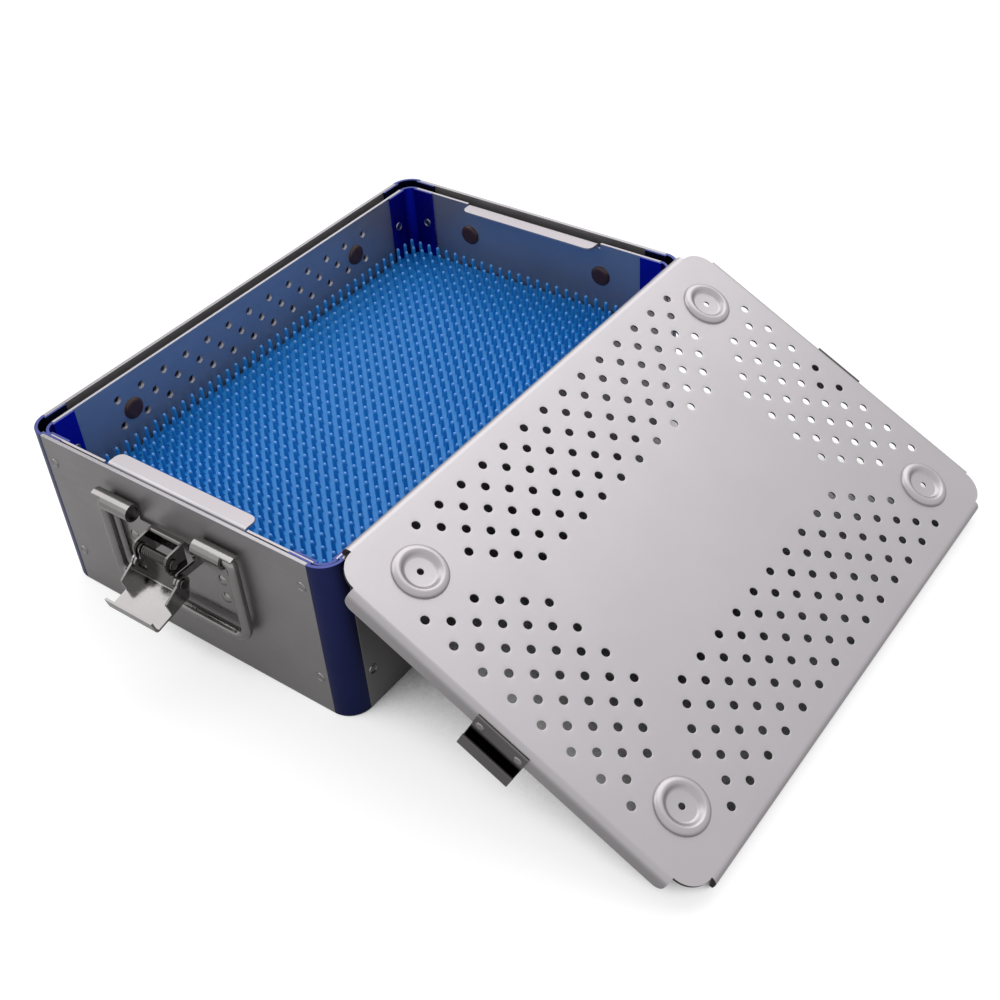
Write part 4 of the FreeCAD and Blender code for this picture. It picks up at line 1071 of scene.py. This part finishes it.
for sign in (-1, 1):
    places, half_straight = edge_places(LID_REACH[1]), LID_FLAT[1] - LID_CORNER
    along, faces = side_strip(places, half_straight, block_edge[0], LID_FLAT[0])
    parts.append((np.stack([sign * along[:, 1], -sign * along[:, 0], along[:, 2]], 1), faces))
    places, half_straight = edge_places(LID_REACH[0]), LID_FLAT[0] - LID_CORNER
    along, faces = side_strip(places, half_straight, block_edge[1], LID_FLAT[1])
    parts.append((np.stack([sign * along[:, 0], sign * along[:, 1], along[:, 2]], 1), faces))
parts += [corner_sheet(sx, sy) for sx in (-1, 1) for sy in (-1, 1)]


def leaned(points):
    """Points of the flat lid, turned about Y by the lean and set down on the rim of the box."""
    away = points[:, 0] - LEAN_FROM[0]
    above = points[:, 2] - LEAN_FROM[1]
    return np.stack(
        [
            LEAN_AT[0] + math.cos(LEAN) * away + math.sin(LEAN) * above,
            points[:, 1],
            LEAN_AT[1] - math.sin(LEAN) * away + math.cos(LEAN) * above,
        ],
        1,
    )


# The wall of a punched hole and the cut rims of the skirts: rough, and painted dark, a painted shade for
# the shade that falls in the holes and on the rims.
hole_wall_painted_shade = finish_of(
    "lid_hole_wall_painted_shade",
    HOLE_WALL_PAINTED_SHADES,
    metallic=1.0,
    roughness=0.6,
    spread=0.05,
    grain=(0.8 * MM, 0.8 * MM, 0.8 * MM),
    depth=0.004 * MM,
)
lid_points, lid_faces = joined(*parts)
surface(
    "lid_pressing",
    leaned(lid_points),
    lid_faces,
    lid_metal,
    "lid",
    "anodised_lid_aluminium",
    ["lid_shell"],
    wall=LID_WALL,
    rim=hole_wall_painted_shade,
)

# Catch strips on the lid's short skirts.
# Hardened stainless strip folded into a hook that the claw pulls on.

dressed(["catch_strip_" + e for e in ENDS], hard_steel, STEEL_EDGE)

# Catch rivets.
# Low aluminium heads, two on each strip.

CATCH_HEAD = ((0, 0.42), (0.9, 0.45), (1.5, 0.5), (1.9, 0.36), (2.15, 0.12), (2.2, 0.0), (0, 0.0))
CATCH_RIVETS = {"reach": 10.2, "drop": 6.6, "out": 152.1}
spots = [(sx, sy) for sx in (-1, 1) for sy in (-1, 1)]
flat_centres = [
    (sx * CATCH_RIVETS["reach"], sy * CATCH_RIVETS["out"], -CATCH_RIVETS["drop"]) for sx, sy in spots
]
centres = leaned(np.array(flat_centres))
surface(
    "catch_rivet_heads",
    *heads(CATCH_HEAD, centres, [(0, sy, 0) for sx, sy in spots]),
    rivet_metal,
    "lid",
    "rivet_aluminium",
    ["catch_rivets"],
)

# Studio: a white floor that keeps a soft shadow, an even white surround, a wide light from behind,
# a softbox on the left, and the photograph's camera.

FLOOR_HALF = 8.0
FLOOR_DROP = 0.0004
# The second shade is a painted shadow: the paper's colour where the floor is shut in.
FLOOR_SHADE, PAINTED_SHADOW_SHADE = "#B4B4B4", "#202020"
FLOOR_GLOW, MIRRORED_GLOW = 0.66, 0.15
# Openness of the floor between which its glow fades in, and between which its painted shadow, a dark
# paper colour, fades out.
SHUT_IN, PAINTED_SHADOW_FADE = (0.15, 0.42), (0.08, 0.25)
OPEN_REACH, OPEN_SAMPLES = 0.18, 24
WORLD_LIGHT = 0.75
SOFTBOX_AT, SOFTBOX_TO = (-0.75, -0.25, 0.95), (0.0, -0.1, 0.05)
SOFTBOX_SIZE, SOFTBOX_POWER = 0.8, 2.4
SUN_FROM, SUN_SPREAD, SUN_POWER = (-0.2, 0.55, 0.81), 60.0, 1.0

floor_mesh = bpy.data.meshes.new("studio_floor")
floor_mesh.from_pydata(
    [(sx * FLOOR_HALF, sy * FLOOR_HALF, -FLOOR_DROP) for sx, sy in ((-1, -1), (1, -1), (1, 1), (-1, 1))],
    [],
    [(0, 1, 2, 3)],
)
floor = bpy.data.objects.new("studio_floor", floor_mesh)
bpy.context.scene.collection.objects.link(floor)


def seen_rays(tree):
    """One for camera, glossy and transmission rays, and nothing for the others."""
    ray = add(tree, "ShaderNodeLightPath").outputs
    first = {0: ray["Is Camera Ray"], 1: ray["Is Glossy Ray"]}
    pair = add(tree, "ShaderNodeMath", first, operation="MAXIMUM")
    both = {0: pair.outputs[0], 1: ray["Is Transmission Ray"]}
    return add(tree, "ShaderNodeMath", both, operation="MAXIMUM").outputs[0]


floor_paper = bpy.data.materials.new("white_studio_paper")
floor_paper.use_nodes = True
tree = floor_paper.node_tree
shader = tree.nodes["Principled BSDF"]
shader.inputs["Base Color"].default_value = linear(FLOOR_SHADE)
shader.inputs["Roughness"].default_value = 1.0
shader.inputs["Specular IOR Level"].default_value = 0.0
shader.inputs["Emission Color"].default_value = (1.0, 1.0, 1.0, 1.0)
# Where the floor is shut in, as under the lid, it doesn't glow, and its paper colour is painted dark: a
# painted shadow.
shut = add(tree, "ShaderNodeAmbientOcclusion", {"Distance": OPEN_REACH}, samples=OPEN_SAMPLES)
openness = {"Value": shut.outputs["AO"], "From Min": SHUT_IN[0], "From Max": SHUT_IN[1]}
free = add(tree, "ShaderNodeMapRange", openness).outputs["Result"]
# Painted shadow: where the floor is shut in, its colour goes dark.
shadow_fade_limits = {"Value": shut.outputs["AO"], "From Min": PAINTED_SHADOW_FADE[0], "From Max": PAINTED_SHADOW_FADE[1]}
unshadowed_share = add(tree, "ShaderNodeMapRange", shadow_fade_limits).outputs["Result"]
painted_shadow_mix = {0: unshadowed_share, 6: linear(PAINTED_SHADOW_SHADE), 7: linear(FLOOR_SHADE)}
shadowed_paper = add(tree, "ShaderNodeMix", painted_shadow_mix, data_type="RGBA")
tree.links.new(shadowed_paper.outputs[2], shader.inputs["Base Color"])
direct = add(tree, "ShaderNodeLightPath").outputs["Is Camera Ray"]
strength = {"Value": direct, "To Min": MIRRORED_GLOW, "To Max": FLOOR_GLOW}
part = add(tree, "ShaderNodeMapRange", strength)
factors = {0: seen_rays(tree), 1: part.outputs["Result"]}
seen = add(tree, "ShaderNodeMath", factors, operation="MULTIPLY")
glow = add(tree, "ShaderNodeMath", {0: seen.outputs[0], 1: free}, operation="MULTIPLY").outputs[0]
tree.links.new(glow, shader.inputs["Emission Strength"])
floor_mesh.materials.append(floor_paper)

world = bpy.data.worlds.new("studio_world")
bpy.context.scene.world = world
world.use_nodes = True
tree = world.node_tree
back = tree.nodes["Background"]
back.inputs["Color"].default_value = (1.0, 1.0, 1.0, 1.0)
level = {"Value": seen_rays(tree), "To Min": WORLD_LIGHT, "To Max": 1.0}
tree.links.new(add(tree, "ShaderNodeMapRange", level).outputs["Result"], back.inputs["Strength"])

sun = bpy.data.lights.new("wide_key_light", "SUN")
sun.angle = math.radians(SUN_SPREAD)
sun.energy = SUN_POWER
holder = bpy.data.objects.new("wide_key_light", sun)
bpy.context.scene.collection.objects.link(holder)
holder.rotation_euler = (-Vector(SUN_FROM)).to_track_quat("-Z", "Y").to_euler()

softbox = bpy.data.lights.new("left_softbox", "AREA")
softbox.shape = "SQUARE"
softbox.size = SOFTBOX_SIZE
softbox.energy = SOFTBOX_POWER
holder = bpy.data.objects.new("left_softbox", softbox)
bpy.context.scene.collection.objects.link(holder)
holder.location = SOFTBOX_AT
holder.rotation_euler = (Vector(SOFTBOX_AT) - Vector(SOFTBOX_TO)).to_track_quat("Z", "Y").to_euler()

CAMERA_AT = (426.349, -435.088, 489.946)
CAMERA_RIGHT = (0.80748277, 0.58667937, -0.0614727)
CAMERA_UP = (-0.34172126, 0.55016782, 0.76193304)
CAMERA_BACK = (0.4808307, -0.59424127, 0.64473184)
CAMERA_LENS = 50.7367
SENSOR = 36.0
CAMERA_NEAR = 0.01

lens = bpy.data.cameras.new("photo_camera")
lens.sensor_width = SENSOR
lens.lens = CAMERA_LENS
lens.clip_start = CAMERA_NEAR
camera = bpy.data.objects.new("photo_camera", lens)
bpy.context.scene.collection.objects.link(camera)
camera.matrix_world = Matrix.Translation([c * MM for c in CAMERA_AT]) @ Matrix(
    list(zip(CAMERA_RIGHT, CAMERA_UP, CAMERA_BACK))
).to_4x4()
bpy.context.scene.camera = camera
bpy.context.scene.view_settings.view_transform = "Standard"

bpy.context.view_layer.update()
